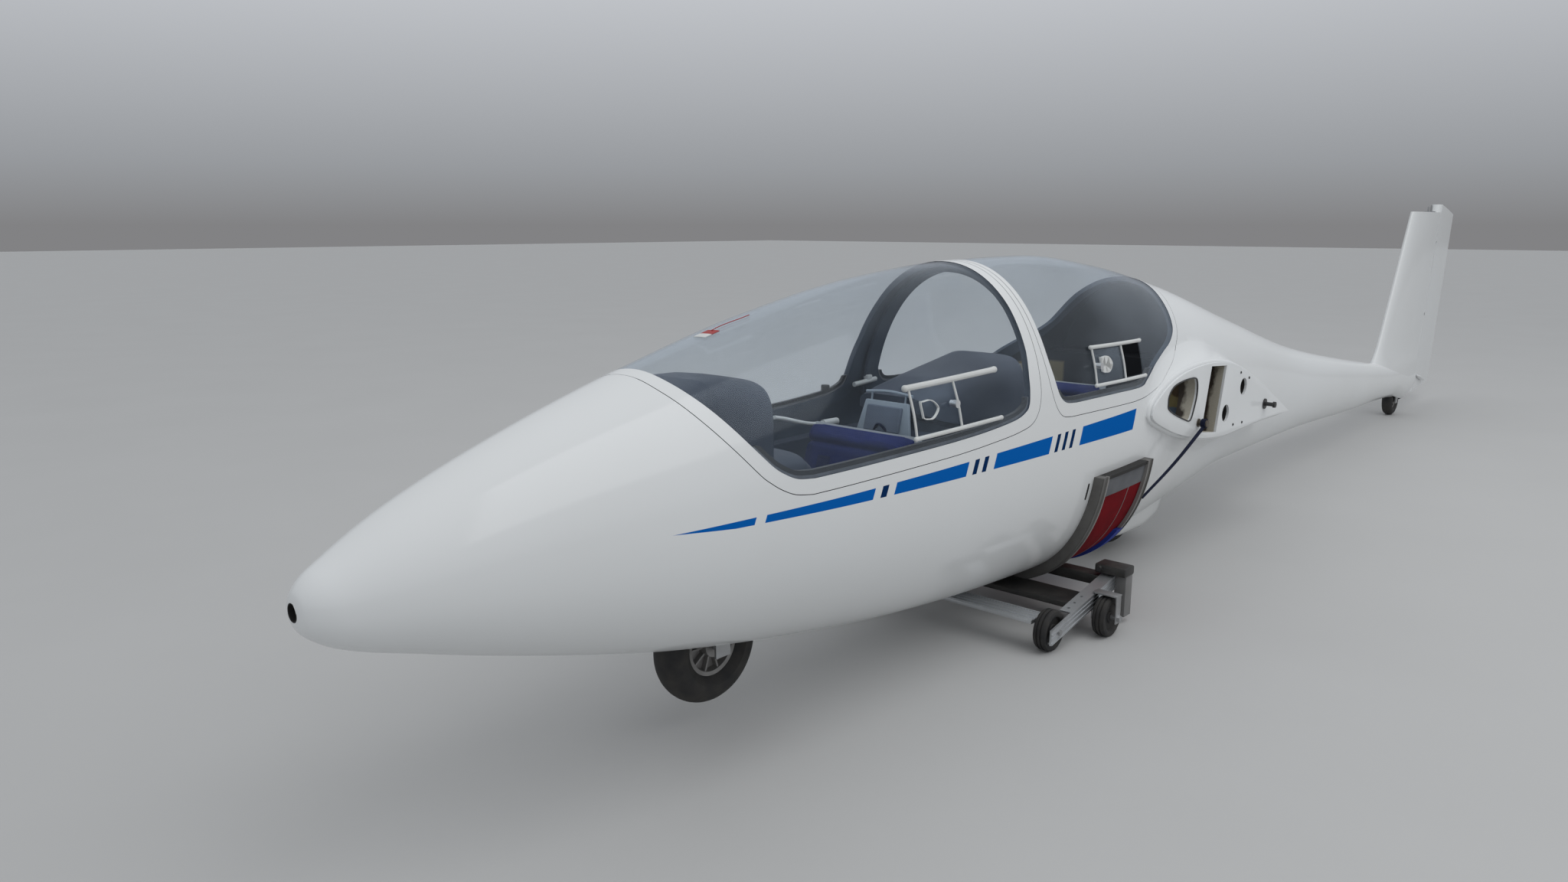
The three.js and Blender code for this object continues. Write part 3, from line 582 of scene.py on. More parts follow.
WHITE = rgb(0.79, 0.81, 0.82)
WARM_WHITE = rgb(0.765, 0.775, 0.77)
DUSTY_DARK_TONE = rgb(0.42, 0.40, 0.36)
BLUE = rgb(0.004, 0.120, 0.46)
DUSTY_DARKENED_BLUE = rgb(0.03, 0.14, 0.38)
NAVY_BAR = rgb(0.006, 0.030, 0.105)
GELCOAT_GLOSS = 0.75
# The body gets darker towards the bottom from this height down, more so over this reach
DARKER_FROM, DARKER_REACH = 0.06, 0.42

# The stripe along the side: blue stretches and thin dark bars with slanted ends. Each is (front, rear).
# It starts as a point, the tip, and its lower edge passes through another: each is (station, height).
STRIPE_LEAN = 0.42
STRIPE_MIDDLE = 0.620
STRIPE_TIP = (0.664, 0.619)
STRIPE_LOW = (0.866, 0.6065)
STRIPE_RISE = 0.0172
STRIPE_DROP, TIP_DROP = 0.0118, 0.079
STRIPE_STRETCHES = ((0.640, 0.8695), (0.8975, 1.2270), (1.3030, 1.5950), (1.7240, 2.0150), (2.1970, 2.5740))
STRIPE_BARS = ((1.2530, 1.2750), (1.6230, 1.6430), (1.6670, 1.6870), (2.0450, 2.0640), (2.0890, 2.1080),
               (2.1330, 2.1520))


def stripe_masks(finish):
    """Where the blue stretches and the dark bars are, on both sides of the body."""
    station = NOSE_X - finish.x
    tip, tip_z = STRIPE_TIP
    under, under_z = STRIPE_LOW
    upper = tip_z + (station - tip) * STRIPE_RISE
    lower = (under_z - (station - under) * STRIPE_DROP).either(tip_z - (station - tip) * TIP_DROP)
    inside = (upper - finish.z).above(0).both((finish.z - lower).above(0))
    along = station - (finish.z - STRIPE_MIDDLE) * STRIPE_LEAN

    def between(pairs):
        found = None
        for front, rear in pairs:
            here = along.above(front).both(1 - along.above(rear))
            found = here if found is None else found.either(here)
        return found.both(inside)

    return between(STRIPE_STRETCHES), between(STRIPE_BARS)


def gelcoat(name, striped=False):
    """Glossy white, a little yellowed and dusty, darker towards the bottom, with fine waves that only its
    gloss shows.
    """
    finish = Finish(name)
    dust = finish.ramp(finish.noise(1.6, 3.0), (0.25, 0.0), (0.85, 1.0))
    # Darker towards the bottom: the dust patches and specks count for more the lower they lie.
    low = (1 - (finish.z - DARKER_FROM) / DARKER_REACH).clamped()
    specks = finish.ramp(finish.noise(160.0, 2.0), (0.68, 0.0), (0.76, 1.0))
    dust_and_darkening = (dust * 0.05 + low * dust * 0.22 + specks * low * 0.16).clamped()
    tone = finish.blend(finish.noise(0.9, 2.0), WHITE, WARM_WHITE)
    colour = finish.blend(dust_and_darkening, tone, DUSTY_DARK_TONE)
    gloss = GELCOAT_GLOSS
    if striped:
        blue, bars = stripe_masks(finish)
        colour = finish.blend(blue, colour, finish.blend(dust_and_darkening, BLUE, DUSTY_DARKENED_BLUE))
        colour = finish.blend(bars, colour, NAVY_BAR)
        gloss = (1 - blue.either(bars)) * GELCOAT_GLOSS
    waves = finish.noise(3.5, 0.0)
    return finish.surface(base_color=colour, roughness=0.4 + dust * 0.05 + dust_and_darkening * 0.2,
                          specular_ior_level=0.0, coat_weight=gloss, coat_roughness=0.12,
                          normal=finish.relief(waves, 0.0006))


def plain(name, colour, darker, roughness, grain=90.0, patch=6.0, shine=0.5):
    """A moulded, painted or bare surface: two tones in soft patches, with a fine grain."""
    finish = Finish(name)
    patches = finish.ramp(finish.noise(patch, 4.0), (0.3, 0.0), (0.7, 1.0))
    fine = finish.noise(grain, 3.0)
    return finish.surface(base_color=finish.blend(patches * 0.7 + fine * 0.3, colour, darker),
                          roughness=roughness + (patches - 0.5) * 0.15, specular_ior_level=shine,
                          normal=finish.relief(fine, 0.0002))


def canopy_glass():
    """Clear acrylic: seen through, with a gloss that grows as it turns edge on, and patches of haze."""
    finish = Finish("clear_acrylic")
    edge_on = Wire(finish, finish.add("LayerWeight", {}, {"Blend": 0.5}).outputs["Facing"])
    haze = finish.ramp(finish.noise(2.6, 5.0, (1.0, 1.0, 2.2)), (0.40, 0.0), (0.8, 1.0))
    clear = finish.add("BsdfTransparent", {}, {"Color": rgb(0.960, 0.978, 0.992)})
    mirror = finish.add("BsdfPrincipled", {}, {"Base Color": rgb(0.86, 0.93, 1.0), "Metallic": 1.0,
                                               "Roughness": 0.06})
    film = finish.add("BsdfPrincipled", {}, {"Base Color": rgb(0.55, 0.64, 0.76), "Roughness": 0.3})
    shown = {0: (edge_on**5 * 0.55 + 0.012).clamped(), 1: Wire(finish, clear.outputs[0]),
             2: Wire(finish, mirror.outputs[0])}
    glossy = finish.add("MixShader", {}, shown)
    hazed = {0: (haze * 0.045 + edge_on**2 * 0.03).clamped(), 1: Wire(finish, glossy.outputs[0]),
             2: Wire(finish, film.outputs[0])}
    mix = finish.add("MixShader", {}, hazed)
    finish.add("OutputMaterial", {}, {"Surface": Wire(finish, mix.outputs[0])})
    return finish.material


def tyre_rubber(name, tone, dusty):
    finish = Finish(name)
    dust = finish.ramp(finish.noise(22.0, 5.0), (0.38, 0.0), (0.72, 1.0))
    colour = finish.blend(dust * dusty, tone, rgb(0.20, 0.18, 0.15))
    return finish.surface(base_color=colour, roughness=0.72 + dust * 0.15,
                          normal=finish.relief(finish.noise(420.0, 2.0), 0.0003))


def bare_metal(name, colour, darker, roughness):
    """Aluminium or steel with drawn lines and dull patches."""
    finish = Finish(name)
    lines = finish.noise(60.0, 4.0, (1.0, 14.0, 14.0))
    patches = finish.ramp(finish.noise(9.0, 5.0), (0.35, 0.0), (0.7, 1.0))
    return finish.surface(base_color=finish.blend(patches * 0.8 + lines * 0.2, colour, darker), metallic=0.85,
                          roughness=roughness + patches * 0.22 + lines * 0.08,
                          normal=finish.relief(lines, 0.0001))


def carpet(name, colour, darker):
    """Short pile, darker where it is worn."""
    finish = Finish(name)
    pile = finish.noise(900.0, 2.0)
    worn = finish.ramp(finish.noise(14.0, 4.0), (0.35, 0.0), (0.7, 1.0))
    return finish.surface(base_color=finish.blend(worn * 0.6 + pile * 0.4, colour, darker), roughness=0.95,
                          specular_ior_level=0.1, normal=finish.relief(pile, 0.0012))


def woven(name, colour, darker, threads=950.0):
    """Cloth with a plain weave: two sets of waves across each other."""
    finish = Finish(name)
    weave = (finish.x * threads).wave() * ((finish.y + finish.z) * threads).wave()
    faded = finish.ramp(finish.noise(9.0, 4.0), (0.35, 0.0), (0.7, 1.0))
    return finish.surface(base_color=finish.blend(faded * 0.7 + weave * 0.3, colour, darker), roughness=0.85,
                          specular_ior_level=0.15, sheen_weight=0.03, normal=finish.relief(weave, 0.0004))


PAINT_ENDS = 2.86
HOLE_SPOT = (0.285, 0.655)
HOLE_SPOT_RADIUS = 0.022
DULL_BELOW = 0.588


def cabin_lining():
    """Dark grey paint. Behind the rear seat it is nearly black, which is painted shade of the unlit space
    there, and by the hand holes it is bare resin.
    """
    finish = Finish("cabin_lining")
    station = NOSE_X - finish.x
    patches = finish.ramp(finish.noise(6.0, 4.0), (0.3, 0.0), (0.7, 1.0))
    paint = finish.blend(patches, rgb(0.058, 0.074, 0.102), rgb(0.031, 0.041, 0.057))
    ragged = finish.noise(26.0, 5.0)
    resin = finish.blend(ragged, rgb(0.30, 0.25, 0.115), rgb(0.17, 0.125, 0.055))
    from_spot = ((finish.y.size() - HOLE_SPOT[0]) ** 2 + (finish.z - HOLE_SPOT[1]) ** 2) ** 0.5
    spot = (1 - (from_spot - HOLE_SPOT_RADIUS) / 0.006).clamped()
    resin = finish.blend(spot, resin, rgb(0.085, 0.055, 0.03))
    dull = (DULL_BELOW + ragged * 0.01 - finish.z).above(0, 0.004)
    resin = finish.blend(dull, resin, rgb(0.13, 0.16, 0.20))
    behind = station.above(PAINT_ENDS, 0.02)
    beside = finish.y.size().above(0.17, 0.01).both((0.72 - finish.z).above(0, 0.01))
    # Painted shade: behind the rear seat, away from the hand holes, the lining is nearly black.
    colour = finish.blend(behind, paint, finish.blend(beside, rgb(0.012, 0.013, 0.016), resin))
    fine = finish.noise(90.0, 3.0)
    return finish.surface(base_color=colour, roughness=0.6 + patches * 0.12, specular_ior_level=0.3,
                          normal=finish.relief(fine, 0.0002))


def laminate(name):
    """Unpainted laminate: pale near its outer edge; further in, a ragged dark brown that is painted shade."""
    finish = Finish(name)
    ragged = finish.noise(30.0, 5.0, (1.0, 1.0, 0.6))
    # Painted shade: the laminate turns dark brown further in, where the body's inside is unlit.
    deep_shade = (0.322 + (ragged - 0.5) * 0.05 - finish.y.size()).above(0, 0.012)
    fibres = finish.noise(260.0, 3.0, (0.15, 1.0, 1.0))
    pale = finish.blend(fibres, rgb(0.50, 0.47, 0.40), rgb(0.36, 0.33, 0.26))
    brown = finish.blend(ragged, rgb(0.060, 0.042, 0.028), rgb(0.020, 0.015, 0.011))
    return finish.surface(base_color=finish.blend(deep_shade, pale, brown), roughness=0.6 + ragged * 0.2,
                          normal=finish.relief(fibres, 0.0004))


shell_white = gelcoat("shell_gelcoat", striped=True)
plain_white = gelcoat("plain_gelcoat")
inner_grey = plain("inner_dark_grey", rgb(0.060, 0.077, 0.106), rgb(0.032, 0.042, 0.059), 0.62, shine=0.3)
lining = cabin_lining()
bare_laminate = laminate("bare_laminate")
dark_hole = plain("dark_hole", rgb(0.012, 0.012, 0.013), rgb(0.02, 0.018, 0.016), 0.7)
hood_grey = plain("hood_dark_grey", rgb(0.064, 0.077, 0.106), rgb(0.042, 0.052, 0.074), 0.55, grain=420.0,
                  shine=0.35)
seal_grey = plain("seal_grey", rgb(0.17, 0.18, 0.20), rgb(0.10, 0.105, 0.115), 0.5, patch=30.0, shine=0.3)
pale_blue_grey = plain("pale_blue_grey_paint", rgb(0.36, 0.42, 0.48), rgb(0.29, 0.34, 0.39), 0.45)
pale_trim = plain("pale_trim_paint", rgb(0.55, 0.58, 0.60), rgb(0.44, 0.46, 0.47), 0.4)
white_plastic = plain("white_plastic", rgb(0.72, 0.73, 0.72), rgb(0.60, 0.61, 0.59), 0.35)
black_plastic = plain("black_plastic", rgb(0.018, 0.018, 0.020), rgb(0.032, 0.031, 0.031), 0.45)
black_paint = plain("black_paint", rgb(0.016, 0.016, 0.017), rgb(0.045, 0.042, 0.038), 0.5, patch=18.0)
saddle_grey = plain("saddle_grey_paint", rgb(0.150, 0.146, 0.140), rgb(0.092, 0.088, 0.082), 0.6, patch=12.0)
bead_grey = plain("saddle_bead_grey", rgb(0.30, 0.29, 0.28), rgb(0.20, 0.19, 0.18), 0.55, patch=14.0)
post_grey = plain("post_grey_paint", rgb(0.20, 0.20, 0.20), rgb(0.14, 0.135, 0.13), 0.5, patch=14.0)
red_carpet = carpet("red_carpet", rgb(0.225, 0.008, 0.014), rgb(0.125, 0.006, 0.010))
band_carpet = carpet("grey_carpet", rgb(0.20, 0.205, 0.215), rgb(0.13, 0.135, 0.145))
floor_carpet = carpet("floor_carpet", rgb(0.075, 0.080, 0.09), rgb(0.045, 0.048, 0.055))
navy_cloth = woven("navy_cloth", rgb(0.012, 0.021, 0.118), rgb(0.007, 0.012, 0.070))
dark_webbing = woven("dark_webbing", rgb(0.012, 0.016, 0.042), rgb(0.006, 0.008, 0.02), 1500.0)
navy_webbing = woven("navy_webbing", rgb(0.014, 0.020, 0.080), rgb(0.008, 0.012, 0.045), 1500.0)
blue_webbing = woven("blue_webbing", rgb(0.030, 0.060, 0.36), rgb(0.018, 0.036, 0.22), 1500.0)
aluminium = bare_metal("aluminium", rgb(0.60, 0.62, 0.64), rgb(0.42, 0.43, 0.44), 0.30)
plated_steel = bare_metal("plated_steel", rgb(0.46, 0.47, 0.48), rgb(0.30, 0.30, 0.30), 0.34)
chrome = bare_metal("chrome", rgb(0.80, 0.81, 0.82), rgb(0.66, 0.67, 0.68), 0.12)
pin_brown = bare_metal("pin_brown_steel", rgb(0.22, 0.19, 0.16), rgb(0.13, 0.11, 0.09), 0.42)
wheel_cast = bare_metal("cast_wheel", rgb(0.34, 0.335, 0.33), rgb(0.21, 0.20, 0.19), 0.45)
clear_pane = canopy_glass()
black_rubber = tyre_rubber("tyre_rubber", rgb(0.014, 0.014, 0.015), 0.16)


# Front fuselage, wing-root fairings and tail boom

LIP_RADIUS = 0.010
LIP_FACE = RIB_PLANE - 0.0087
FILLET = 0.085
FAIRING_TAIL = 4.045
WALL = 0.012
NOSE_SOCKET_Z = 0.570
NOSE_SOCKET_RADIUS = 0.0165


def fairing():
    """The left wing-root fairing: a rounded lip round the rib, then a hollow curve down into the body."""
    steps = 14
    outward = [(Vector(b) - Vector(a)) / 0.001 for a, b in zip(ROOT_LINE, grown(ROOT_LINE, 0.001))]
    rings = [(-0.020, 0.0), (-0.002, 0.0)]
    rings += [(LIP_RADIUS * (math.sin(a) - 0.2), LIP_RADIUS * (1 - math.cos(a))) for a in (0.5, 1.0, 1.57)]

    def place(ring, turn):
        i = round(turn * len(ROOT_LINE)) % len(ROOT_LINE)
        point, out = Vector(ROOT_LINE[i]), outward[i]
        if ring < len(rings):
            reach, drop = rings[ring]
            flat = point + out * reach
            return Vector((NOSE_X - flat.x, LIP_FACE - drop, flat.y))
        if ring > len(rings) + steps:
            flat = point + out * FILLET * 0.5
            return Vector((NOSE_X - flat.x, 0.08, flat.y))
        bend = (ring - len(rings)) / steps * math.pi / 2
        tail = min(1.0, max(0.0, (FAIRING_TAIL - point.x) / 0.35))
        width = FILLET * (0.45 + 0.55 * tail)
        reach = LIP_RADIUS * 0.8 + width * (1 - math.cos(bend))
        flat = point + out * reach
        body = max(0.10, side_at(flat.x, flat.y) - 0.004)
        lip = LIP_FACE - LIP_RADIUS
        return Vector((NOSE_X - flat.x, lip + (body - lip) * math.sin(bend), flat.y))

    return wrapped(list(range(len(rings) + steps + 2)), len(ROOT_LINE), place)


Bulge = namedtuple("Bulge", "station bottom half")
BULGE = (
    Bulge(2.770, 0.114, 0.060),
    Bulge(2.900, 0.086, 0.104),
    Bulge(3.050, 0.070, 0.118),
    Bulge(3.220, 0.068, 0.118),
    Bulge(3.380, 0.080, 0.098),
    Bulge(3.560, 0.134, 0.050),
)
BULGE_TOP = 0.300


def wheel_bulge():
    """The fairing that holds the main wheel below the belly."""
    corners = 12
    knee = 0.035

    def place(row, turn):
        corner = min(round(turn * corners), corners) % corners
        station, bottom, half = BULGE[row]
        sides = [(half, BULGE_TOP), (half, knee * 1.6 + bottom), (half * 0.985, knee + bottom),
                 (half * 0.93, knee * 0.45 + bottom), (half * 0.82, knee * 0.12 + bottom),
                 (half * 0.66, bottom)]
        is_left = corner < len(sides)
        across, height = sides[corner] if is_left else sides[corners - 1 - corner]
        return Vector((NOSE_X - station, across if is_left else -across, height))

    return wrapped(list(range(len(BULGE))), corners, place)


Well = namedtuple("Well", "station z radius half roof")
NOSE_WELL = Well(0.981, 0.226, 0.150, 0.066, 0.402)
MAIN_WELL = Well(3.130, 0.192, 0.180, 0.076, 0.392)
TAIL_WELL = Well(7.190, 0.100, 0.100, 0.039, 0.218)


def wheel_well(well, slack=0.014):
    front, rear = well.station - well.radius - slack, well.station + well.radius + slack
    return block(front, rear, -well.half, well.half, -0.02, well.roof)


def link_hole(station, z, side):
    return rod((station, side * (RIB_PLANE - 0.06), z), (station, side * 0.6, z), LINK_HOLE_RADIUS, 40)


def is_inside(point, depth=0.004):
    """Whether a point lies deeper in the body than a depth, between its nose and its tail."""
    station = NOSE_X - point.x
    if not 0.3 < station < 7.58:
        return False
    return abs(point.y) < side_at(station, point.z, depth) - 1e-5


def fuselage_shell():
    left = fairing()
    outer = join(body_solid(0.0, BOOM_END), left, mirrored(left), wheel_bulge())
    cabin = trim(body_solid(0.33, 2.85, WALL), block(0.3, 2.9, -0.6, 0.6, 0.0, SKY))
    shelf = join(block(2.83, 3.04, -0.6, 0.6, 0.48, SKY), block(3.03, 3.20, -0.6, 0.6, 0.76, SKY))
    luggage = trim(body_solid(2.84, 3.19, WALL), shelf)
    shell = cut(outer, cabin, luggage)
    walls = NOSE_WELL._replace(radius=0.158, half=0.074, roof=0.410)
    box = trim(body_solid(0.70, 1.30, OVERLAP), wheel_well(walls))
    shell = cut(
        join(shell, box),
        side_plate(grown(FRONT_RIM_LINE, SEAM)),
        side_plate(grown(REAR_RIM_LINE, SEAM)),
        side_plate(grown(SPAR_SLOT_LINE, 0.0083)),
        side_plate(HAND_HOLE_LINE, INNER_SIDE, BEYOND),
        side_plate(HAND_HOLE_LINE, -BEYOND, -INNER_SIDE),
        wheel_well(NOSE_WELL),
        wheel_well(MAIN_WELL),
        wheel_well(TAIL_WELL, 0.012),
        rod((-0.02, 0, NOSE_SOCKET_Z), (0.06, 0, NOSE_SOCKET_Z), NOSE_SOCKET_RADIUS, 32),
        hinge_barrel(HINGE_CLEARANCE),
        side_plate([(hinge_at(0.0), 0.0), (8.5, 0.0), (8.5, 1.5), (hinge_at(1.5), 1.5)]),
    )
    for side in (-1, 1):
        shell = cut(shell, *(link_hole(*hole, side) for hole in LINK_HOLES))
    for face in shell.faces:
        face.material_index = shell_finish(face.calc_center_median())
    return shell


def encloses(outline, station, height):
    """Whether a closed outline has a point inside it."""
    inside = False
    for (s1, z1), (s2, z2) in zip(outline, outline[1:] + outline[:1]):
        if (z1 > height) != (z2 > height) and station < s1 + (height - z1) / (z2 - z1) * (s2 - s1):
            inside = not inside
    return inside


HOLE_WALL = grown(HAND_HOLE_LINE, 0.001)


def shell_finish(point):
    """0 outside, 1 in the cabin, 2 on the hand holes' walls and 3 in the link holes and the nose socket,
    whose near black walls are painted shade.
    """
    station = NOSE_X - point.x
    if station < 0.062 and math.hypot(point.y, point.z - NOSE_SOCKET_Z) < NOSE_SOCKET_RADIUS + 0.0003:
        return 3
    if abs(point.y) > INNER_SIDE and 2.7 < station < 3.6:
        if encloses(HOLE_WALL, station, point.z):
            return 2
        if any(math.hypot(station - s, point.z - z) < LINK_HOLE_RADIUS + 0.001 for s, z in LINK_HOLES):
            return 3
    return 1 if is_inside(point) else 0


Axis = namedtuple("Axis", "low_station low_z high_station high_z low_radius high_radius")
HINGE = Axis(7.577, 0.230, 7.838, 1.300, 0.040, 0.027)
HINGE_CLEARANCE = 0.006
HINGE_HEIGHTS = (0.640, 1.120)
HINGE_PIN_RADIUS = 0.006


def hinge_at(z, offset=0.0):
    share = (z - HINGE.low_z) / (HINGE.high_z - HINGE.low_z)
    return HINGE.low_station + share * (HINGE.high_station - HINGE.low_station) + offset


def hinge_barrel(extra):
    """The round nose of the rudder about its hinge line, or the hollow that it turns in."""

    def place(z, turn):
        share = (z - HINGE.low_z) / (HINGE.high_z - HINGE.low_z)
        radius = HINGE.low_radius + share * (HINGE.high_radius - HINGE.low_radius) + extra
        angle = 2 * math.pi * turn
        return Vector((NOSE_X - hinge_at(z) + radius * math.cos(angle), radius * math.sin(angle), z))

    return wrapped(evenly(0.04, 1.46, 24), 40, place)


FinSection = namedtuple("FinSection", "z front rear thickness")
FIN_SECTIONS = (
    FinSection(0.100, 6.570, 8.170, 0.110),
    FinSection(0.285, 6.636, 8.190, 0.107),
    FinSection(0.400, 6.702, 8.203, 0.103),
    FinSection(0.560, 6.800, 8.226, 0.098),
    FinSection(1.322, 7.216, 8.353, 0.076),
    FinSection(1.390, 7.252, 8.363, 0.074),
)
FIN_TOP = 1.322
RUDDER_TOP = 1.376
FIN_SPREAD = 0.022
FOOT_FROM, FOOT_REACH = 0.34, 0.14


def fin_point(z, turn, spread):
    """A streamlined section, round from its trailing edge. Its foot may spread into the boom."""
    i = max(k for k in range(len(FIN_SECTIONS) - 1) if FIN_SECTIONS[k].z <= z + 1e-9)
    a, b = FIN_SECTIONS[i], FIN_SECTIONS[i + 1]
    t = (z - a.z) / (b.z - a.z)
    foot = max(0.0, 1 - max(0.0, z - FOOT_FROM) / FOOT_REACH) ** 2
    front = a.front + t * (b.front - a.front) - 0.05 * foot
    rear = a.rear + t * (b.rear - a.rear)
    thickness = a.thickness + t * (b.thickness - a.thickness) + spread * foot
    along = (1 + math.cos(2 * math.pi * turn)) / 2
    form = (2.969 * math.sqrt(along) - 1.26 * along - 3.516 * along**2 + 2.843 * along**3
            - 1.036 * along**4)
    side = math.copysign(1, math.sin(2 * math.pi * turn)) if 0 < turn < 1 else 0
    return Vector((NOSE_X - front - along * (rear - front), side * form * thickness / 2, z))


def tail_surface(spread):
    levels = sorted({section.z for section in FIN_SECTIONS} | set(evenly(0.12, 1.38, 60)))
    return wrapped(levels, 64, lambda z, turn: fin_point(z, turn, spread))


def hinge_pin(z, radius, reach):
    return rod((hinge_at(z - reach), 0, z - reach), (hinge_at(z + reach), 0, z + reach), radius)


def hinge_plate(z):
    plate = block(hinge_at(z) - 0.060, hinge_at(z) + 0.012, -0.012, 0.012, z - 0.004, z + 0.004, 0.001)
    return cut(plate, hinge_pin(z, HINGE_PIN_RADIUS + 0.0003, 0.020))


def fin_form():
    ahead = -0.018
    outline = [(6.0, 0.2), (hinge_at(0.2, ahead), 0.2), (hinge_at(FIN_TOP, ahead), FIN_TOP),
               (6.0, FIN_TOP + 0.003)]
    body = cut(trim(tail_surface(FIN_SPREAD), side_plate(outline)), hinge_barrel(HINGE_CLEARANCE))
    return join(body, *(hinge_plate(z) for z in HINGE_HEIGHTS))


def rudder_form():
    foot = 0.12
    outline = [(hinge_at(foot), foot), (8.175, 0.132), (8.350, 1.313),
               (hinge_at(RUDDER_TOP, -0.01), RUDDER_TOP)]
    behind = [(hinge_at(0.06), 0.06), (8.7, 0.06), (8.7, 1.5), (hinge_at(1.5), 1.5)]
    blade = trim(tail_surface(0.0), side_plate(outline), side_plate(behind))
    level = [(7.0, foot), (8.7, foot), (8.7, RUDDER_TOP), (7.0, RUDDER_TOP)]
    nose = trim(hinge_barrel(0.0), side_plate(level))
    notches = [block(hinge_at(z) - 0.090, hinge_at(z) + 0.017, -0.2, 0.2, z - 0.009, z + 0.009)
               for z in HINGE_HEIGHTS]
    pins = [hinge_pin(z, HINGE_PIN_RADIUS, 0.015) for z in HINGE_HEIGHTS]
    return join(cut(join(blade, nose), *notches), *pins, horn_bump(1), horn_bump(-1))


def horn_bump(side):
    """The long low bump over the end of the rudder's arm."""
    front = Vector((NOSE_X - 7.630, side * 0.044, 0.221))
    rear = Vector((NOSE_X - 7.879, side * 0.034, 0.164))
    form = bmesh.new()
    bmesh.ops.create_uvsphere(form, u_segments=24, v_segments=16, radius=1.0)
    bmesh.ops.scale(form, vec=(0.013, 0.013, (rear - front).length / 2), verts=form.verts)
    bmesh.ops.rotate(form, matrix=(rear - front).to_track_quat("Z", "Y").to_matrix(), verts=form.verts)
    bmesh.ops.translate(form, vec=(front + rear) / 2, verts=form.verts)
    return form


piece("fuselage_shell", fuselage_shell(), AIRFRAME, shell_white, lining, bare_laminate, dark_hole,
      replaces=("nose_shell", "cockpit_tub", "centre_section", "tail_boom", "wing_root_left",
                "wing_root_right"),
      slot="gelcoat", sharp=36)
piece("fin_shell", fin_form(), AIRFRAME, plain_white, replaces=("fin",), slot="gelcoat", sharp=40)
piece("rudder_shell", rudder_form(), "rudder_body", plain_white, replaces=("rudder",), slot="gelcoat",
      sharp=40)


# Canopies

RIM_DEPTH = 0.018
PANE_OUTER, PANE_INNER = 0.0012, 0.0045
OPEN_VENT = [(2.506, 0.868), (2.674, 0.862), (2.662, 0.757), (2.502, 0.761)]
Canopy = namedtuple("Canopy", "end first last rim_line glass_line has_fairings open_vents")
CANOPIES = (
    Canopy("front", 0.74, 2.01, FRONT_RIM_LINE, FRONT_GLASS_LINE, False, ()),
    Canopy("rear", 2.015, 3.215, REAR_RIM_LINE, REAR_GLASS_LINE, True, (OPEN_VENT,)),
)


def canopy_rim(canopy):
    """A canopy's frame. The rear one carries the part of the fairings that lies inside its outline."""
    outer = body_solid(canopy.first, canopy.last)
    if canopy.has_fairings:
        left = fairing()
        outer = join(outer, left, mirrored(left))
    wall = cut(trim(outer, side_plate(canopy.rim_line)),
               body_solid(canopy.first - OVERLAP, canopy.last + OVERLAP, RIM_DEPTH))
    rim = cut(wall, side_plate(canopy.glass_line))
    for face in rim.faces:
        face.material_index = 1 if is_inside(face.calc_center_median(), 0.0035) else 0
    return rim


def canopy_pane(canopy):
    wall = body_wall(canopy.first, canopy.last, PANE_OUTER, PANE_INNER)
    pane = trim(wall, side_plate(grown(canopy.glass_line, -0.0006)))
    for opening in canopy.open_vents:
        pane = cut(pane, side_plate(opening, 0.1, BEYOND))
    return pane


for canopy in CANOPIES:
    end = canopy.end
    piece(f"{end}_canopy_rim", canopy_rim(canopy), f"{end}_canopy", shell_white, inner_grey,
          replaces=(f"{end}_canopy_frame",), slot="gelcoat", sharp=36)
    piece(f"{end}_canopy_pane", canopy_pane(canopy), f"{end}_canopy", clear_pane,
          replaces=(f"{end}_canopy_glass",), slot="clear_pane", sharp=36)


# Wheels


def tyre_form(well, half, rim):
    """A rounded tyre that narrows to its rim."""
    shoulder = 0.012
    foot = half * 0.62
    crown = []
    for degrees in evenly(-100, 100, 16):
        angle = math.radians(degrees)
        bulge = max(0.0, math.cos(angle))
        radius = rim + shoulder + (well.radius - rim - shoulder) * bulge**0.62
        crown.append((radius, half * math.sin(angle)))
    return turned([(rim, -foot), *crown[1:-1], (rim, foot)], (NOSE_X - well.station, 0, well.z))


Tyre = namedtuple("Tyre", "name well half rim body")
TYRES = (
    Tyre("nose_tyre", NOSE_WELL, 0.0475, 0.078, "nose_wheel"),
    Tyre("main_tyre", MAIN_WELL, 0.0600, 0.100, "main_wheel"),
    Tyre("tail_tyre", TAIL_WELL, 0.0310, 0.052, "tail_wheel"),
)
for tyre in TYRES:
    piece(f"{tyre.name}_tread", tyre_form(tyre.well, tyre.half, tyre.rim), tyre.body, black_rubber,
          replaces=(tyre.name,), slot="tyre")


# Lines and small forms


def shifted(line, distance):
    """An open line of station and height pairs moved along its normals, up where it runs aft."""
    moved = []
    for i, (station, height) in enumerate(line):
        before = Vector(line[max(0, i - 1)])
        after = Vector(line[min(len(line) - 1, i + 1)])
        along = (after - before).normalized()
        moved.append((station - along.y * distance, height + along.x * distance))
    return moved


def soften(form, width, segments=2):
    """Rounds the edges whose faces meet at more than 50 degrees."""
    sharp = [edge for edge in form.edges
             if len(edge.link_faces) == 2 and edge.calc_face_angle(0) > math.radians(50)]
    rounded(form, sharp, width, segments)
    return form


def bent_strip(line, low, high, near, far):
    """A strip along a line seen from the side, between two distances above it and two widths."""
    return side_plate([*shifted(line, low), *reversed(shifted(line, high))], near, far)


def lengths_along(line):
    """The distance from a line's start to each of its points."""
    lengths = [0.0]
    for a, b in zip(line, line[1:]):
        lengths.append(lengths[-1] + (Vector(b) - Vector(a)).length)
    return lengths


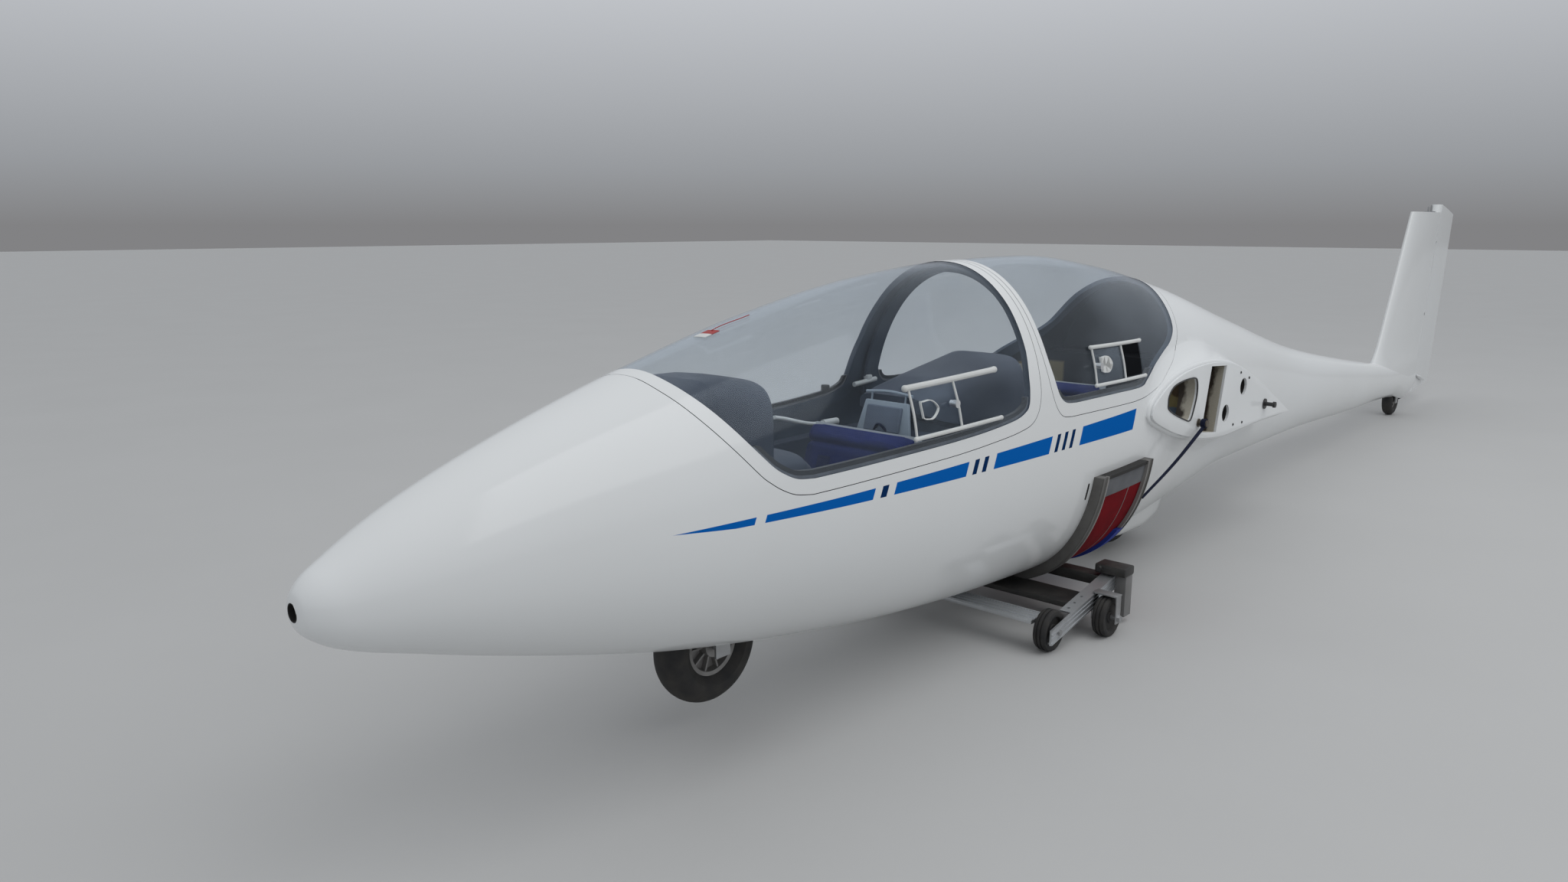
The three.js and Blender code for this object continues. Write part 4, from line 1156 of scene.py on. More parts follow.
def bent_form(line, low, high, half, curl=0.0, square=(0.6, 0.25), end=0.0, around=48):
    """A rounded slab on a bent line. Its sides curl up by curl, and its ends are rounded over a length."""
    lengths = lengths_along(line)
    above = [Vector(point) for point in shifted(line, 1.0)]
    middle, amount = (low + high) / 2, (high - low) / 2

    def place(i, turn):
        base = Vector(line[i])
        from_end = min(lengths[i], lengths[-1] - lengths[i])
        full = 1.0 if from_end >= end else math.sqrt(max(0.03, 1 - (1 - from_end / end) ** 2))
        across = signed_power(math.cos(2 * math.pi * turn), square[0])
        rise = signed_power(math.sin(2 * math.pi * turn), square[1])
        point = base + (above[i] - base) * (middle + amount * full * rise + curl * abs(across) ** 6)
        return Vector((NOSE_X - point.x, half * across * (0.94 + 0.06 * full), point.y))

    return wrapped(list(range(len(line))), around, place)


def on_skin(station, z, out=0.0):
    """A point on the body's left side, as (station, y, z), or off it by a distance."""
    return (station, side_at(station, z) + out, z)


def refinish(name, finish):
    """Gives a node of the frame a finish of its own."""
    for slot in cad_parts[name].material_slots:
        slot.material = finish


# Canopy trim: seals, vents, the fixed hoop, and what lies on the glass


SILL_TOP = 0.768


def sill_strip(first, last, glass_line, low, high):
    """A strip under the pane, between two distances inwards from its edge, where the edge is low."""
    band = cut(side_plate(grown(glass_line, -low)), side_plate(grown(glass_line, -high)))
    low_part = block(first, last, -0.6, 0.6, 0.5, SILL_TOP)
    return trim(trim(body_wall(first, last, 0.0055, 0.016), band), low_part)


for end, *strip in (("front", 0.80, 1.97, FRONT_GLASS_LINE), ("rear", 2.03, 3.15, REAR_GLASS_LINE)):
    piece(f"{end}_sill_bond", sill_strip(*strip, -0.002, 0.007), f"{end}_canopy", seal_grey,
          slot="dark_trim")
    piece(f"{end}_sill_seal", sill_strip(*strip, 0.0071, 0.018), f"{end}_canopy", black_plastic,
          slot="black_plastic")


def canopy_hoop():
    """The fixed arch between the canopies, and the web that joins it to the strip above it."""
    hoop = trim(body_wall(1.970, 2.060, 0.024, 0.034), block(1.985, 2.045, -0.6, 0.6, 0.70, SKY))
    web = trim(body_wall(1.970, 2.060, 0.0125, 0.026), block(2.000, 2.013, -0.6, 0.6, 0.76, SKY))
    return join(hoop, web)


piece("inner_hoop", canopy_hoop(), AIRFRAME, inner_grey, replaces=("canopy_arch",), slot="dark_trim",
      sharp=36)

RAIL_PROUD = 0.004
LOW_RAIL_RADIUS = 0.0056


def glass_rail(front, rear, radius, steps=4):
    """A rail along the left pane between two (station, height) ends."""
    knots = [Vector(front).lerp(Vector(rear), i / steps) for i in range(steps + 1)]
    return tube([on_skin(knot.x, knot.y, RAIL_PROUD) for knot in knots], radius, 12)


def glass_plate(outline, out, depth):
    """A plate on the left pane, whose corners are (station, height)."""
    first = min(station for station, height in outline) - 0.02
    last = max(station for station, height in outline) + 0.02
    return trim(body_wall(first, last, -out - depth, -out), side_plate(outline, 0.0, BEYOND))


def scoop(centre, front, rear, high, low):
    """The small D-shaped air scoop: a thin wall that stands on the slider."""
    outline = curve_through([(front, low + 0.004), (front, high - 0.003), (front + 0.010, high),
                             (rear - 0.022, high), (rear, centre), (rear - 0.026, low),
                             (front + 0.010, low)], 4)
    return cut(glass_plate(outline, 0.0012, 0.006), glass_plate(grown(outline, -0.0022), -0.0005, 0.030))


def vent_window(vent):
    """The white rails and rods of a sliding window, with its scoop and knob."""
    rails = ((vent.top, vent.thick), (vent.low, LOW_RAIL_RADIUS))
    bars = [glass_rail(*ends, radius) for ends, radius in rails]
    bars += [glass_rail(*ends, 0.0034, steps=2) for ends in vent.rods]
    balls = []
    for ends, radius in rails:
        for point in ends:
            station, y, z = on_skin(*point, RAIL_PROUD)
            ball = bmesh.new()
            bmesh.ops.create_uvsphere(ball, u_segments=16, v_segments=10, radius=radius * 1.12)
            bmesh.ops.translate(ball, vec=(NOSE_X - station, y, z), verts=ball.verts)
            balls.append(ball)
    return together(*bars, *balls, scoop(*vent.scoop))


Vent = namedtuple("Vent", "top low thick rods scoop knob slider")
VENTS = {
    "front": Vent(top=((1.380, 0.846), (1.757, 0.858)), low=((1.383, 0.724), (1.752, 0.732)), thick=0.0080,
                  rods=(((1.391, 0.840), (1.387, 0.728)), ((1.567, 0.847), (1.571, 0.732))),
                  scoop=(0.789, 1.420, 1.486, 0.811, 0.766), knob=(1.542, 0.794),
                  slider=((1.394, 0.838), (1.566, 0.843), (1.570, 0.734), (1.392, 0.730))),
    "rear": Vent(top=((2.303, 0.872), (2.670, 0.865)), low=((2.298, 0.758), (2.668, 0.752)), thick=0.0062,
                 rods=(((2.308, 0.866), (2.302, 0.762)), ((2.508, 0.862), (2.505, 0.758))),
                 scoop=(0.816, 2.346, 2.420, 0.839, 0.792), knob=(2.314, 0.817),
                 slider=((2.311, 0.862), (2.505, 0.859), (2.502, 0.762), (2.306, 0.764))),
}
for end, vent in VENTS.items():
    piece(f"{end}_vent_rails", vent_window(vent), f"{end}_canopy", white_plastic,
          replaces=(f"{end}_vent_window",), slot="clear_trim")
    piece(f"{end}_vent_slider", glass_plate(list(vent.slider), -0.0005, 0.0022), f"{end}_canopy", clear_pane,
          slot="clear_pane")
    knob_at = on_skin(*vent.knob, 0.002)
    piece(f"{end}_vent_knob", rod(knob_at, (knob_at[0], knob_at[1] + 0.022, knob_at[2]), 0.0085, 24, 0.0105),
          f"{end}_canopy", chrome, slot="steel")


def glass_patch(first, last, right, left, low, high):
    """A thin patch stuck on the outside of the pane."""
    return trim(body_wall(first, last, -0.0006, 0.0008), block(first, last, right, left, low, high))


def yaw_string():
    stations = (1.028, 1.06, 1.09, 1.12, 1.15)
    points = [(s, -0.010 + 0.004 * math.sin(40 * s), top_at(s) + 0.0015) for s in stations]
    return tube(points, 0.0011, 8)


red_tape = plain("red_tape", rgb(0.42, 0.02, 0.02), rgb(0.30, 0.02, 0.02), 0.5)
piece("string_tape_white", glass_patch(0.986, 1.008, -0.03, 0.01, 0.9, 1.1), "front_canopy", white_plastic,
      slot="clear_trim")
piece("string_tape_red", glass_patch(1.0085, 1.034, -0.03, 0.01, 0.9, 1.1), "front_canopy", red_tape,
      slot="red_carpet")
piece("yaw_string", yaw_string(), "front_canopy", red_tape, slot="red_carpet")


# Instrument hoods and panels

HoodRow = namedtuple("HoodRow", "station low high half")
FRONT_HOOD = (HoodRow(0.800, 0.800, 0.866, 0.105), HoodRow(0.840, 0.780, 0.882, 0.130),
              HoodRow(0.900, 0.730, 0.895, 0.152), HoodRow(0.980, 0.700, 0.893, 0.163),
              HoodRow(1.050, 0.700, 0.883, 0.167), HoodRow(1.056, 0.701, 0.880, 0.165))
REAR_HOOD = (HoodRow(1.720, 0.715, 0.758, 0.115), HoodRow(1.790, 0.690, 0.776, 0.130),
             HoodRow(1.890, 0.665, 0.794, 0.142), HoodRow(2.000, 0.650, 0.812, 0.150),
             HoodRow(2.190, 0.640, 0.843, 0.158), HoodRow(2.195, 0.641, 0.840, 0.156))
HOOD_POWER = 5.0
HOOD_WALL = 0.009
HOOD_OPEN_BELOW = 0.08


def hood_form(rows, drawn_in=0.0):
    stations = [row.station for row in rows]
    fine = sorted(set(stations) | set(evenly(stations[0], stations[-1], 24)))

    def at(station):
        i = min(max(bisect.bisect_right(stations, station) - 1, 0), len(rows) - 2)
        t = (station - stations[i]) / (stations[i + 1] - stations[i])
        return [a + t * (b - a) for a, b in zip(rows[i][1:], rows[i + 1][1:])]

    def place(station, turn):
        low, high, half = at(station)
        across = signed_power(math.cos(2 * math.pi * turn), 2 / HOOD_POWER)
        up = max(0.0, signed_power(math.sin(2 * math.pi * turn), 2 / HOOD_POWER))
        low += drawn_in
        return Vector((NOSE_X - station, (half - drawn_in) * across, low + (high - drawn_in - low) * up))

    return wrapped(fine, 56, place)


def hood(rows, face):
    """A hood whose rear end is hollow as far as the panel's face."""

    def space(aft):
        moved = [row._replace(station=row.station + aft, low=row.low - HOOD_OPEN_BELOW) for row in rows]
        behind = block(face, rows[-1].station + 0.05, -0.4, 0.4, 0.4, 1.2)
        return trim(hood_form(moved, HOOD_WALL), behind)

    return cut(hood_form(rows), join(space(0.0), space(0.02)))


Dial = namedtuple("Dial", "y z radius")
# face is the station of the panel's face. foot is the column's block. console lies lower, behind the hood.
Panel = namedtuple("Panel", "end rows face foot console dials")
PANELS = (
    Panel("front", FRONT_HOOD, 1.018, block(1.000, 1.120, -0.055, 0.055, 0.4106, 0.640, 0.006),
          (HoodRow(0.940, 0.640, 0.702, 0.145), HoodRow(1.060, 0.622, 0.704, 0.160),
           HoodRow(1.190, 0.613, 0.690, 0.150), HoodRow(1.222, 0.613, 0.665, 0.140)),
          (Dial(-0.100, 0.815, 0.040), Dial(0.0, 0.828, 0.040), Dial(0.100, 0.815, 0.040),
           Dial(-0.100, 0.735, 0.030), Dial(-0.030, 0.745, 0.030), Dial(0.042, 0.745, 0.030),
           Dial(0.108, 0.735, 0.030))),
    Panel("rear", REAR_HOOD, 2.150, block(2.000, 2.090, -0.050, 0.050, 0.2624, 0.640, 0.006),
          (HoodRow(1.900, 0.625, 0.652, 0.135), HoodRow(2.030, 0.603, 0.654, 0.150),
           HoodRow(2.130, 0.603, 0.650, 0.150)),
          (Dial(-0.096, 0.775, 0.038), Dial(0.0, 0.780, 0.038), Dial(0.096, 0.775, 0.038),
           Dial(-0.104, 0.700, 0.028), Dial(-0.034, 0.700, 0.028), Dial(0.036, 0.700, 0.028),
           Dial(0.106, 0.700, 0.028))),
)


def dial_face():
    """Glossy black with small pale marks."""
    finish = Finish("dial_face")
    specks = finish.cells(170.0)
    marks = (0.22 - specks).above(0, 0.05)
    colour = finish.blend(marks, rgb(0.008, 0.008, 0.009), rgb(0.45, 0.45, 0.42))
    return finish.surface(base_color=colour, roughness=0.12 + marks * 0.2)


dial_black = dial_face()


def dial_disc(panel, dial):
    front, rear = panel.face - 0.002, panel.face + 0.003
    return rod((front, dial.y, dial.z), (rear, dial.y, dial.z), dial.radius - 0.004, 40)


def dial_ring(panel, dial):
    centre = (NOSE_X - panel.face - 0.002, dial.y, dial.z)
    form = turned([(dial.radius - 0.005, -0.004), (dial.radius, -0.004), (dial.radius + 0.001, 0.002),
                   (dial.radius - 0.003, 0.005), (dial.radius - 0.005, 0.004)], centre, 40)
    bmesh.ops.rotate(form, cent=centre, matrix=Matrix.Rotation(math.radians(90), 3, "Z"), verts=form.verts)
    return form


for panel in PANELS:
    pod = join(hood(panel.rows, panel.face), panel.foot, hood_form(panel.console))
    piece(f"{panel.end}_hood", pod, AIRFRAME, hood_grey, replaces=(f"{panel.end}_instrument_pod",),
          slot="dark_trim", sharp=36)
    for label, form_of, finish in (("dials", dial_disc, dial_black),
                                   ("dial_rings", dial_ring, black_plastic)):
        forms = [form_of(panel, dial) for dial in panel.dials]
        piece(f"{panel.end}_{label}", together(*forms), AIRFRAME, finish, slot="black_plastic")


# Seats, cushions and harness

FRONT_SEAT = curve_through([(1.252, 0.3235), (1.300, 0.330), (1.345, 0.305), (1.395, 0.279), (1.450, 0.288),
                            (1.497, 0.310), (1.525, 0.385), (1.570, 0.520), (1.620, 0.672)], 10)
REAR_SEAT = curve_through([(2.242, 0.3235), (2.300, 0.329), (2.370, 0.303), (2.445, 0.279), (2.510, 0.289),
                           (2.556, 0.308), (2.586, 0.390), (2.632, 0.540), (2.680, 0.700)], 10)
SEATS = {"front": FRONT_SEAT, "rear": REAR_SEAT}
SEAT_HALF = 0.190
CHANNEL_STEP, CHANNEL_DEPTH, CHANNEL_WIDTH = 0.098, 0.009, 0.008
PRESSURE = 4.0
BLOW_STEPS = 20


def stuffed(form, cap):
    """A padded form with its cover blown up. No point moves further than the cap."""
    tight = as_object(form, "tight")
    voxels = tight.modifiers.new("voxels", "REMESH")
    voxels.mode = "VOXEL"
    voxels.voxel_size = 0.0065
    shape = bpy.data.meshes.new_from_object(tight.evaluated_get(bpy.context.evaluated_depsgraph_get()))
    bpy.data.objects.remove(tight)
    cover = bpy.data.objects.new("cover", shape)
    bpy.context.collection.objects.link(cover)
    cloth = cover.modifiers.new("cloth", "CLOTH")
    cloth.settings.use_pressure = True
    cloth.settings.uniform_pressure_force = PRESSURE
    cloth.settings.effector_weights.gravity = 0.0
    scene = bpy.context.scene
    for step in range(1, BLOW_STEPS + 1):
        scene.frame_set(step)
        blown = cover.evaluated_get(bpy.context.evaluated_depsgraph_get())
    starts = [vertex.co.copy() for vertex in shape.vertices]
    swollen = blown.to_mesh()
    for vertex, start, end in zip(shape.vertices, starts, swollen.vertices):
        move = end.co - start
        vertex.co = start + move * min(1.0, cap / max(move.length, 1e-9))
    blown.to_mesh_clear()
    cover.modifiers.clear()
    finer = cover.modifiers.new("finer", "SUBSURF")
    finer.levels = finer.render_levels = 1
    result = bmesh.new()
    view = cover.evaluated_get(bpy.context.evaluated_depsgraph_get())
    result.from_mesh(view.to_mesh())
    view.to_mesh_clear()
    bpy.data.objects.remove(cover)
    scene.frame_set(1)
    return result


def sew(form, line):
    """Presses channels across a cushion at even steps along its line."""
    form.normal_update()
    lengths = lengths_along(line)
    line_points = [Vector(point) for point in line]
    for vertex in form.verts:
        here = Vector((NOSE_X - vertex.co.x, vertex.co.z))
        nearest = min(range(len(line)), key=lambda i: (line_points[i] - here).length_squared)
        ahead = (line_points[min(nearest + 1, len(line) - 1)] - line_points[max(nearest - 1, 0)]).normalized()
        along = lengths[nearest] + (here - line_points[nearest]).dot(ahead)
        off = abs((along + CHANNEL_STEP / 2) % CHANNEL_STEP - CHANNEL_STEP / 2)
        if CHANNEL_STEP * 0.6 < along < lengths[-1] - CHANNEL_STEP * 0.4:
            vertex.co -= vertex.normal * CHANNEL_DEPTH * math.exp(-((off / CHANNEL_WIDTH) ** 2))
    return form


for end, line in SEATS.items():
    piece(f"{end}_seat_shell", bent_form(line, -0.008, 0.0, SEAT_HALF, curl=0.012), AIRFRAME, pale_trim,
          replaces=(f"{end}_seat",), slot="pale_trim")
    slab = bent_form(line, 0.007, 0.054, SEAT_HALF, square=(0.50, 0.62), end=0.035, around=56)
    cushion = piece(f"{end}_seat_pad", sew(stuffed(slab, 0.008), line), AIRFRAME, navy_cloth,
                    replaces=(f"{end}_cushion",), slot="navy_cloth")


# Where the harness lies on a seat's line, as the numbers of its points
SHOULDER_POINTS = slice(-38, -6)
LAP_POINTS = slice(30, 42)
# The adjusters: the place across, and the number of the line's point
ADJUSTERS = ((-0.100, -16), (0.080, -10))


def harness(line):
    """Two shoulder straps and the two halves of a lap strap, lying on the cushion."""
    low, high = 0.0625, 0.065
    straps = [bent_strip(line[SHOULDER_POINTS], low, high, y - 0.021, y + 0.021) for y in (-0.088, 0.088)]
    straps += [bent_strip(line[LAP_POINTS], low, high, *ends)
               for ends in ((-SEAT_HALF, -0.030), (0.030, SEAT_HALF))]
    return together(*straps)


def harness_plates(line):
    """The adjusters on the straps: small steel frames with a bar across."""
    plates = []
    for y, at in ADJUSTERS:
        spot = line[at - 3:at + 3]
        plate = bent_strip(spot, 0.0655, 0.0695, y - 0.030, y + 0.030)
        slots = [bent_strip(part, 0.060, 0.075, y - 0.022, y + 0.022) for part in (spot[1:3], spot[3:5])]
        plates.append(cut(plate, *slots))
    return together(*plates)


for end, line in SEATS.items():
    piece(f"{end}_harness", harness(line), AIRFRAME, navy_webbing, slot="navy_cloth")
    piece(f"{end}_harness_plates", harness_plates(line), AIRFRAME, plated_steel, slot="steel")


def headrest_frame():
    """A pale panel behind the front seat's shoulders, with its two legs and a thin guard bar above it."""
    foot = 0.640
    panel = side_plate([(1.676, foot), (1.690, foot), (1.712, 0.742), (1.698, 0.744)], -0.098, 0.098)
    for vertex in panel.verts:
        vertex.co.y *= 1.0 - 0.22 * (vertex.co.z - foot) / 0.10
    soften(panel, 0.004)
    legs = [rod((1.640, y, 0.560), (1.690, y, 0.668), 0.007) for y in (-0.055, 0.055)]
    posts = [rod((1.706, y, 0.735), (1.712, y, 0.768), 0.003) for y in (-0.060, 0.060)]
    bar = tube([(1.712, -0.082, 0.764), (1.712, 0.0, 0.770), (1.712, 0.082, 0.764)], 0.0045)
    return together(panel, *legs, *posts, bar)


def headrest_pad():
    pad = side_plate([(1.668, 0.660), (1.680, 0.658), (1.700, 0.730), (1.688, 0.732)], -0.062, 0.062)
    return soften(pad, 0.0045, 3)


def headrest_loop():
    return tube([(1.672, -0.022, 0.664), (1.664, 0.0, 0.682), (1.672, 0.022, 0.664)], 0.004)


grey_blue_cloth = woven("grey_blue_cloth", rgb(0.16, 0.19, 0.24), rgb(0.11, 0.13, 0.17))
piece("headrest_frame", headrest_frame(), AIRFRAME, pale_blue_grey, slot="pale_trim")
headrest = piece("headrest_pad", headrest_pad(), AIRFRAME, grey_blue_cloth, slot="pale_trim")
piece("headrest_loop", headrest_loop(), AIRFRAME, dark_webbing, slot="navy_cloth")


# Cabin sides and controls


SHELF_FRONT, SHELF_REAR = 1.200, 2.800
FLOOR_TOP = 0.2626


def side_shelf(side):
    near, far = sorted((side * 0.06, side * BEYOND))
    return trim(body_wall(SHELF_FRONT, SHELF_REAR, 0.0125, 0.062),
                block(SHELF_FRONT, SHELF_REAR, near, far, 0.400, 0.600))


def stick_form(station, grip):
    foot = (NOSE_X - station, 0, FLOOR_TOP)
    boot = turned([(0.0001, 0.0), (0.034, 0.0), (0.030, 0.010), (0.020, 0.030), (0.013, 0.050),
                   (0.0001, 0.052)], foot, 32)
    bmesh.ops.rotate(boot, cent=foot, matrix=Matrix.Rotation(math.radians(90), 3, "X"), verts=boot.verts)
    shaft = rod((station, 0, 0.290), (station + 0.038, 0, grip - 0.105), 0.009)
    handle = tube([(station + 0.039, 0, grip - 0.116), (station + 0.032, 0, grip - 0.085),
                   (station + 0.037, 0, grip - 0.045), (station + 0.030, 0, grip - 0.004)], 0.0155, 20)
    return together(boot, shaft, handle)


def pedal_form(station, z):
    """A bar from wall to wall with two slotted pedals on it."""
    half = side_at(station, z, 0.0143)
    bar = rod((station, -half + 0.002, z), (station, half - 0.002, z), 0.009)
    plates = []
    for y in (-0.115, 0.115):
        plate = block(station - 0.010, station + 0.002, y - 0.040, y + 0.040, z - 0.008, z + 0.130, 0.003)
        slots = [block(station - 0.02, station + 0.01, y - 0.028, y + 0.028, z + k, z + k + 0.012)
                 for k in (0.030, 0.060, 0.090)]
        plates.append(cut(plate, *slots))
    return join(bar, *plates)


for name, side in (("left", 1), ("right", -1)):
    piece(f"{name}_side_shelf", side_shelf(side), AIRFRAME, hood_grey, replaces=(f"side_console_{name}",),
          slot="dark_trim", sharp=36)
# Each stick's station and its top's height, and each pedal bar's station and height
for end, stick, pedal in (("front", (1.200, 0.560), (0.760, 0.470)),
                          ("rear", (2.180, 0.560), (1.960, 0.380))):
    piece(f"{end}_stick_and_boot", stick_form(*stick), AIRFRAME, black_plastic,
          replaces=(f"{end}_stick",), slot="black_plastic")
    piece(f"{end}_pedal_bar", pedal_form(*pedal), AIRFRAME, aluminium, replaces=(f"{end}_pedals",),
          slot="aluminium")


def canopy_lever():
    """The white bent rod on the right wall with its thick grip, and the latch on the sill behind it."""
    y = -0.250
    bent = tube([(1.496, y, 0.693), (1.540, y, 0.683), (1.590, y, 0.669), (1.650, y, 0.654),
                 (1.715, y, 0.646)], 0.006, 12)
    grip = rod((1.711, y, 0.646), (1.775, y, 0.645), 0.0115)
    stay = rod((1.500, y, 0.692), (1.500, -0.322, 0.680), 0.005)
    latch = tube([(1.927, -0.306, 0.737), (1.980, -0.303, 0.741), (2.030, -0.300, 0.746)], 0.008, 12)
    claw = block(1.985, 2.010, -0.318, -0.296, 0.740, 0.762, 0.004)
    return together(bent, grip, stay, latch, claw)


piece("wall_lever_and_latch", canopy_lever(), AIRFRAME, white_plastic, slot="clear_trim")
piece("sill_catch", block(1.796, 1.815, -0.334, -0.312, 0.728, 0.748, 0.003), AIRFRAME, black_plastic,
      slot="black_plastic")


# Wing roots

SCREWS = ((3.439, 0.687), (3.530, 0.658), (3.399, 0.491), (3.490, 0.488))
FRONT_PIN = (3.062, 0.543)
REAR_PIN = (3.724, 0.532)
STRAP_OUT = 0.022


def rib_plate():
    plate = soften(side_plate(grown(ROOT_LINE, -0.003), RIB_PLANE - 0.0088, RIB_PLANE), 0.0018)
    holes = [side_plate(line, INNER_SIDE, BEYOND) for line in (HAND_HOLE_LINE, SPAR_SLOT_LINE)]
    holes += [rod((s, RIB_PLANE - 0.05, z), (s, RIB_PLANE + 0.05, z), LINK_HOLE_RADIUS, 48)
              for s, z in LINK_HOLES]
    return cut(plate, *holes)


def hole_edging():
    points = [(s, RIB_PLANE + 0.0006, z) for s, z in HAND_HOLE_LINE[:-1:2]]
    return tube(points, 0.0026, 8, closed=True)


def rib_pin(station, z, length, base):
    tip = RIB_PLANE + length
    shaft = rod((station, RIB_PLANE - 0.004, z), (station, tip, z), 0.008)
    head = rod((station, tip - 0.009, z), (station, tip, z), 0.0125, 28, 0.0118)
    foot = rod((station, RIB_PLANE - 0.001, z), (station, RIB_PLANE + 0.004, z), base, 32)
    return join(shaft, head, foot)


def pin_collar(station, z, at):
    return turned([(0.0084, -0.004), (0.0150, -0.004), (0.0160, 0.0), (0.0150, 0.004), (0.0084, 0.004)],
                  (NOSE_X - station, RIB_PLANE + at, z), 40)


def screw_heads():
    return together(*(rod((s, RIB_PLANE - 0.001, z), (s, RIB_PLANE + 0.0022, z), 0.0055, 16, 0.0045)
                      for s, z in SCREWS))


for name, turn_over in (("left", lambda form: form), ("right", mirrored)):
    parts = (
        ("rib_plate", rib_plate(), plain_white, "gelcoat"),
        ("hand_hole_edging", hole_edging(), black_plastic, "black_plastic"),
        ("front_pin", rib_pin(*FRONT_PIN, 0.034, 0.015), pin_brown, "steel"),
        ("front_pin_collar", pin_collar(*FRONT_PIN, 0.016), black_plastic, "black_plastic"),
        ("rear_pin", rib_pin(*REAR_PIN, REAR_PIN_LENGTH, 0.021), black_plastic, "black_plastic"),
        ("rib_screws", screw_heads(), dark_hole, "steel"),
    )
    for label, form, finish, slot_name in parts:
        piece(f"{label}_{name}", turn_over(form), AIRFRAME, finish, slot=slot_name)


def tie_strap(offset):
    """One strand from the front pin down and forwards to the saddle's rear rim."""
    station, z = FRONT_PIN
    top = (station + offset, RIB_PLANE + STRAP_OUT, z - 0.012)
    end = (2.694, side_at(2.694, 0.330, -0.033), 0.330)
    middle = ((top[0] + end[0]) / 2 - 0.004, (top[1] + end[1]) / 2 + 0.004, (top[2] + end[2]) / 2 - 0.006)
    return tube([top, middle, end], 0.0044, 8)


def strap_loop():
    """The strap's turn round the front pin."""
    station, z = FRONT_PIN
    return turned([(0.0135, -0.008), (0.0165, -0.008), (0.0165, 0.008), (0.0135, 0.008)],
                  (NOSE_X - station, RIB_PLANE + STRAP_OUT, z), 32)


def side_slot():
    """A thin near black patch on the body's side, ahead of the saddle, that stands for a slot: painted shade.
    """
    outline = curve_through([(2.279, 0.404), (2.279, 0.450), (2.283, 0.453), (2.287, 0.450), (2.287, 0.404),
                             (2.283, 0.401), (2.279, 0.404)], 3)
    return glass_plate(outline, -0.001, 0.0025)


piece("tie_strap", together(tie_strap(-0.012), tie_strap(0.006), strap_loop()), AIRFRAME, dark_webbing,
      slot="navy_cloth")
piece("side_slot", side_slot(), AIRFRAME, dark_hole, slot="black_plastic")


# Wheel rims


def around_axle(form, well, angle):
    """The form turned about a wheel's axle."""
    bmesh.ops.rotate(form, cent=(NOSE_X - well.station, 0, well.z), matrix=Matrix.Rotation(angle, 3, "Y"),
                     verts=form.verts)
    return form


def ribbed_rim(tyre, bore, ribs):
    """A cast rim with ribs between its hub and its edge, on both sides."""
    half, edge, well = tyre.half, tyre.rim - 0.0003, tyre.well
    disc = turned([(bore, -half * 0.8), (bore + 0.018, -half * 0.72), (bore + 0.020, -half * 0.22),
                   (edge - 0.014, -half * 0.22), (edge - 0.010, -half * 0.56), (edge, -half * 0.60),
                   (edge, half * 0.60), (edge - 0.010, half * 0.56), (edge - 0.014, half * 0.22),
                   (bore + 0.020, half * 0.22), (bore + 0.018, half * 0.72), (bore, half * 0.8)],
                  (NOSE_X - well.station, 0, well.z), 80)
    spokes = []
    for i in range(ribs):
        spoke = block(well.station + bore + 0.012, well.station + edge - 0.006, -half * 0.5, half * 0.5,
                      well.z - 0.0028, well.z + 0.0028, 0.001)
        spokes.append(around_axle(spoke, well, 2 * math.pi * i / ribs))
    return join(disc, *spokes)


# Each rim's name, the node it replaces, its bore's radius and its number of ribs
RIMS = (("nose_ribbed_rim", "nose_rim", 0.0106, 10), ("main_ribbed_rim", "main_rim", 0.0106, 8),
        ("tail_ribbed_hub", "tail_hub", 0.0086, 6))
for tyre, (name, node, bore, ribs) in zip(TYRES, RIMS):
    piece(name, ribbed_rim(tyre, bore, ribs), tyre.body, wheel_cast, replaces=(node,), slot="wheel_rim")


# The dolly's saddle

SADDLE_TOP = 0.470
SADDLE_BAND_LOW = 0.397
SADDLE_FOOT = -0.05
SADDLE_OUT = 0.030
LINING_SLACK = 0.0003
FRONT_RIM = (2.311, 2.345)
REAR_RIM = (2.655, 2.700)


def saddle_part(first, last, outer, inner, low, high):
    """A band round the body between two stations, two distances from its skin and two heights."""
    reach = block(first - 0.01, last + 0.01, -0.6, 0.6, low, high)
    return trim(body_wall(first, last, -outer, -inner), reach)


def saddle_rim(first, last, bead):
    """One rim: a flat band, with a raised bead round it."""
    band = saddle_part(first, last, SADDLE_OUT, LINING_SLACK, SADDLE_FOOT, SADDLE_TOP)
    raised = saddle_part(bead - 0.0035, bead + 0.0035, 0.0325, 0.022, SADDLE_FOOT, SADDLE_TOP)
    return join(band, raised)


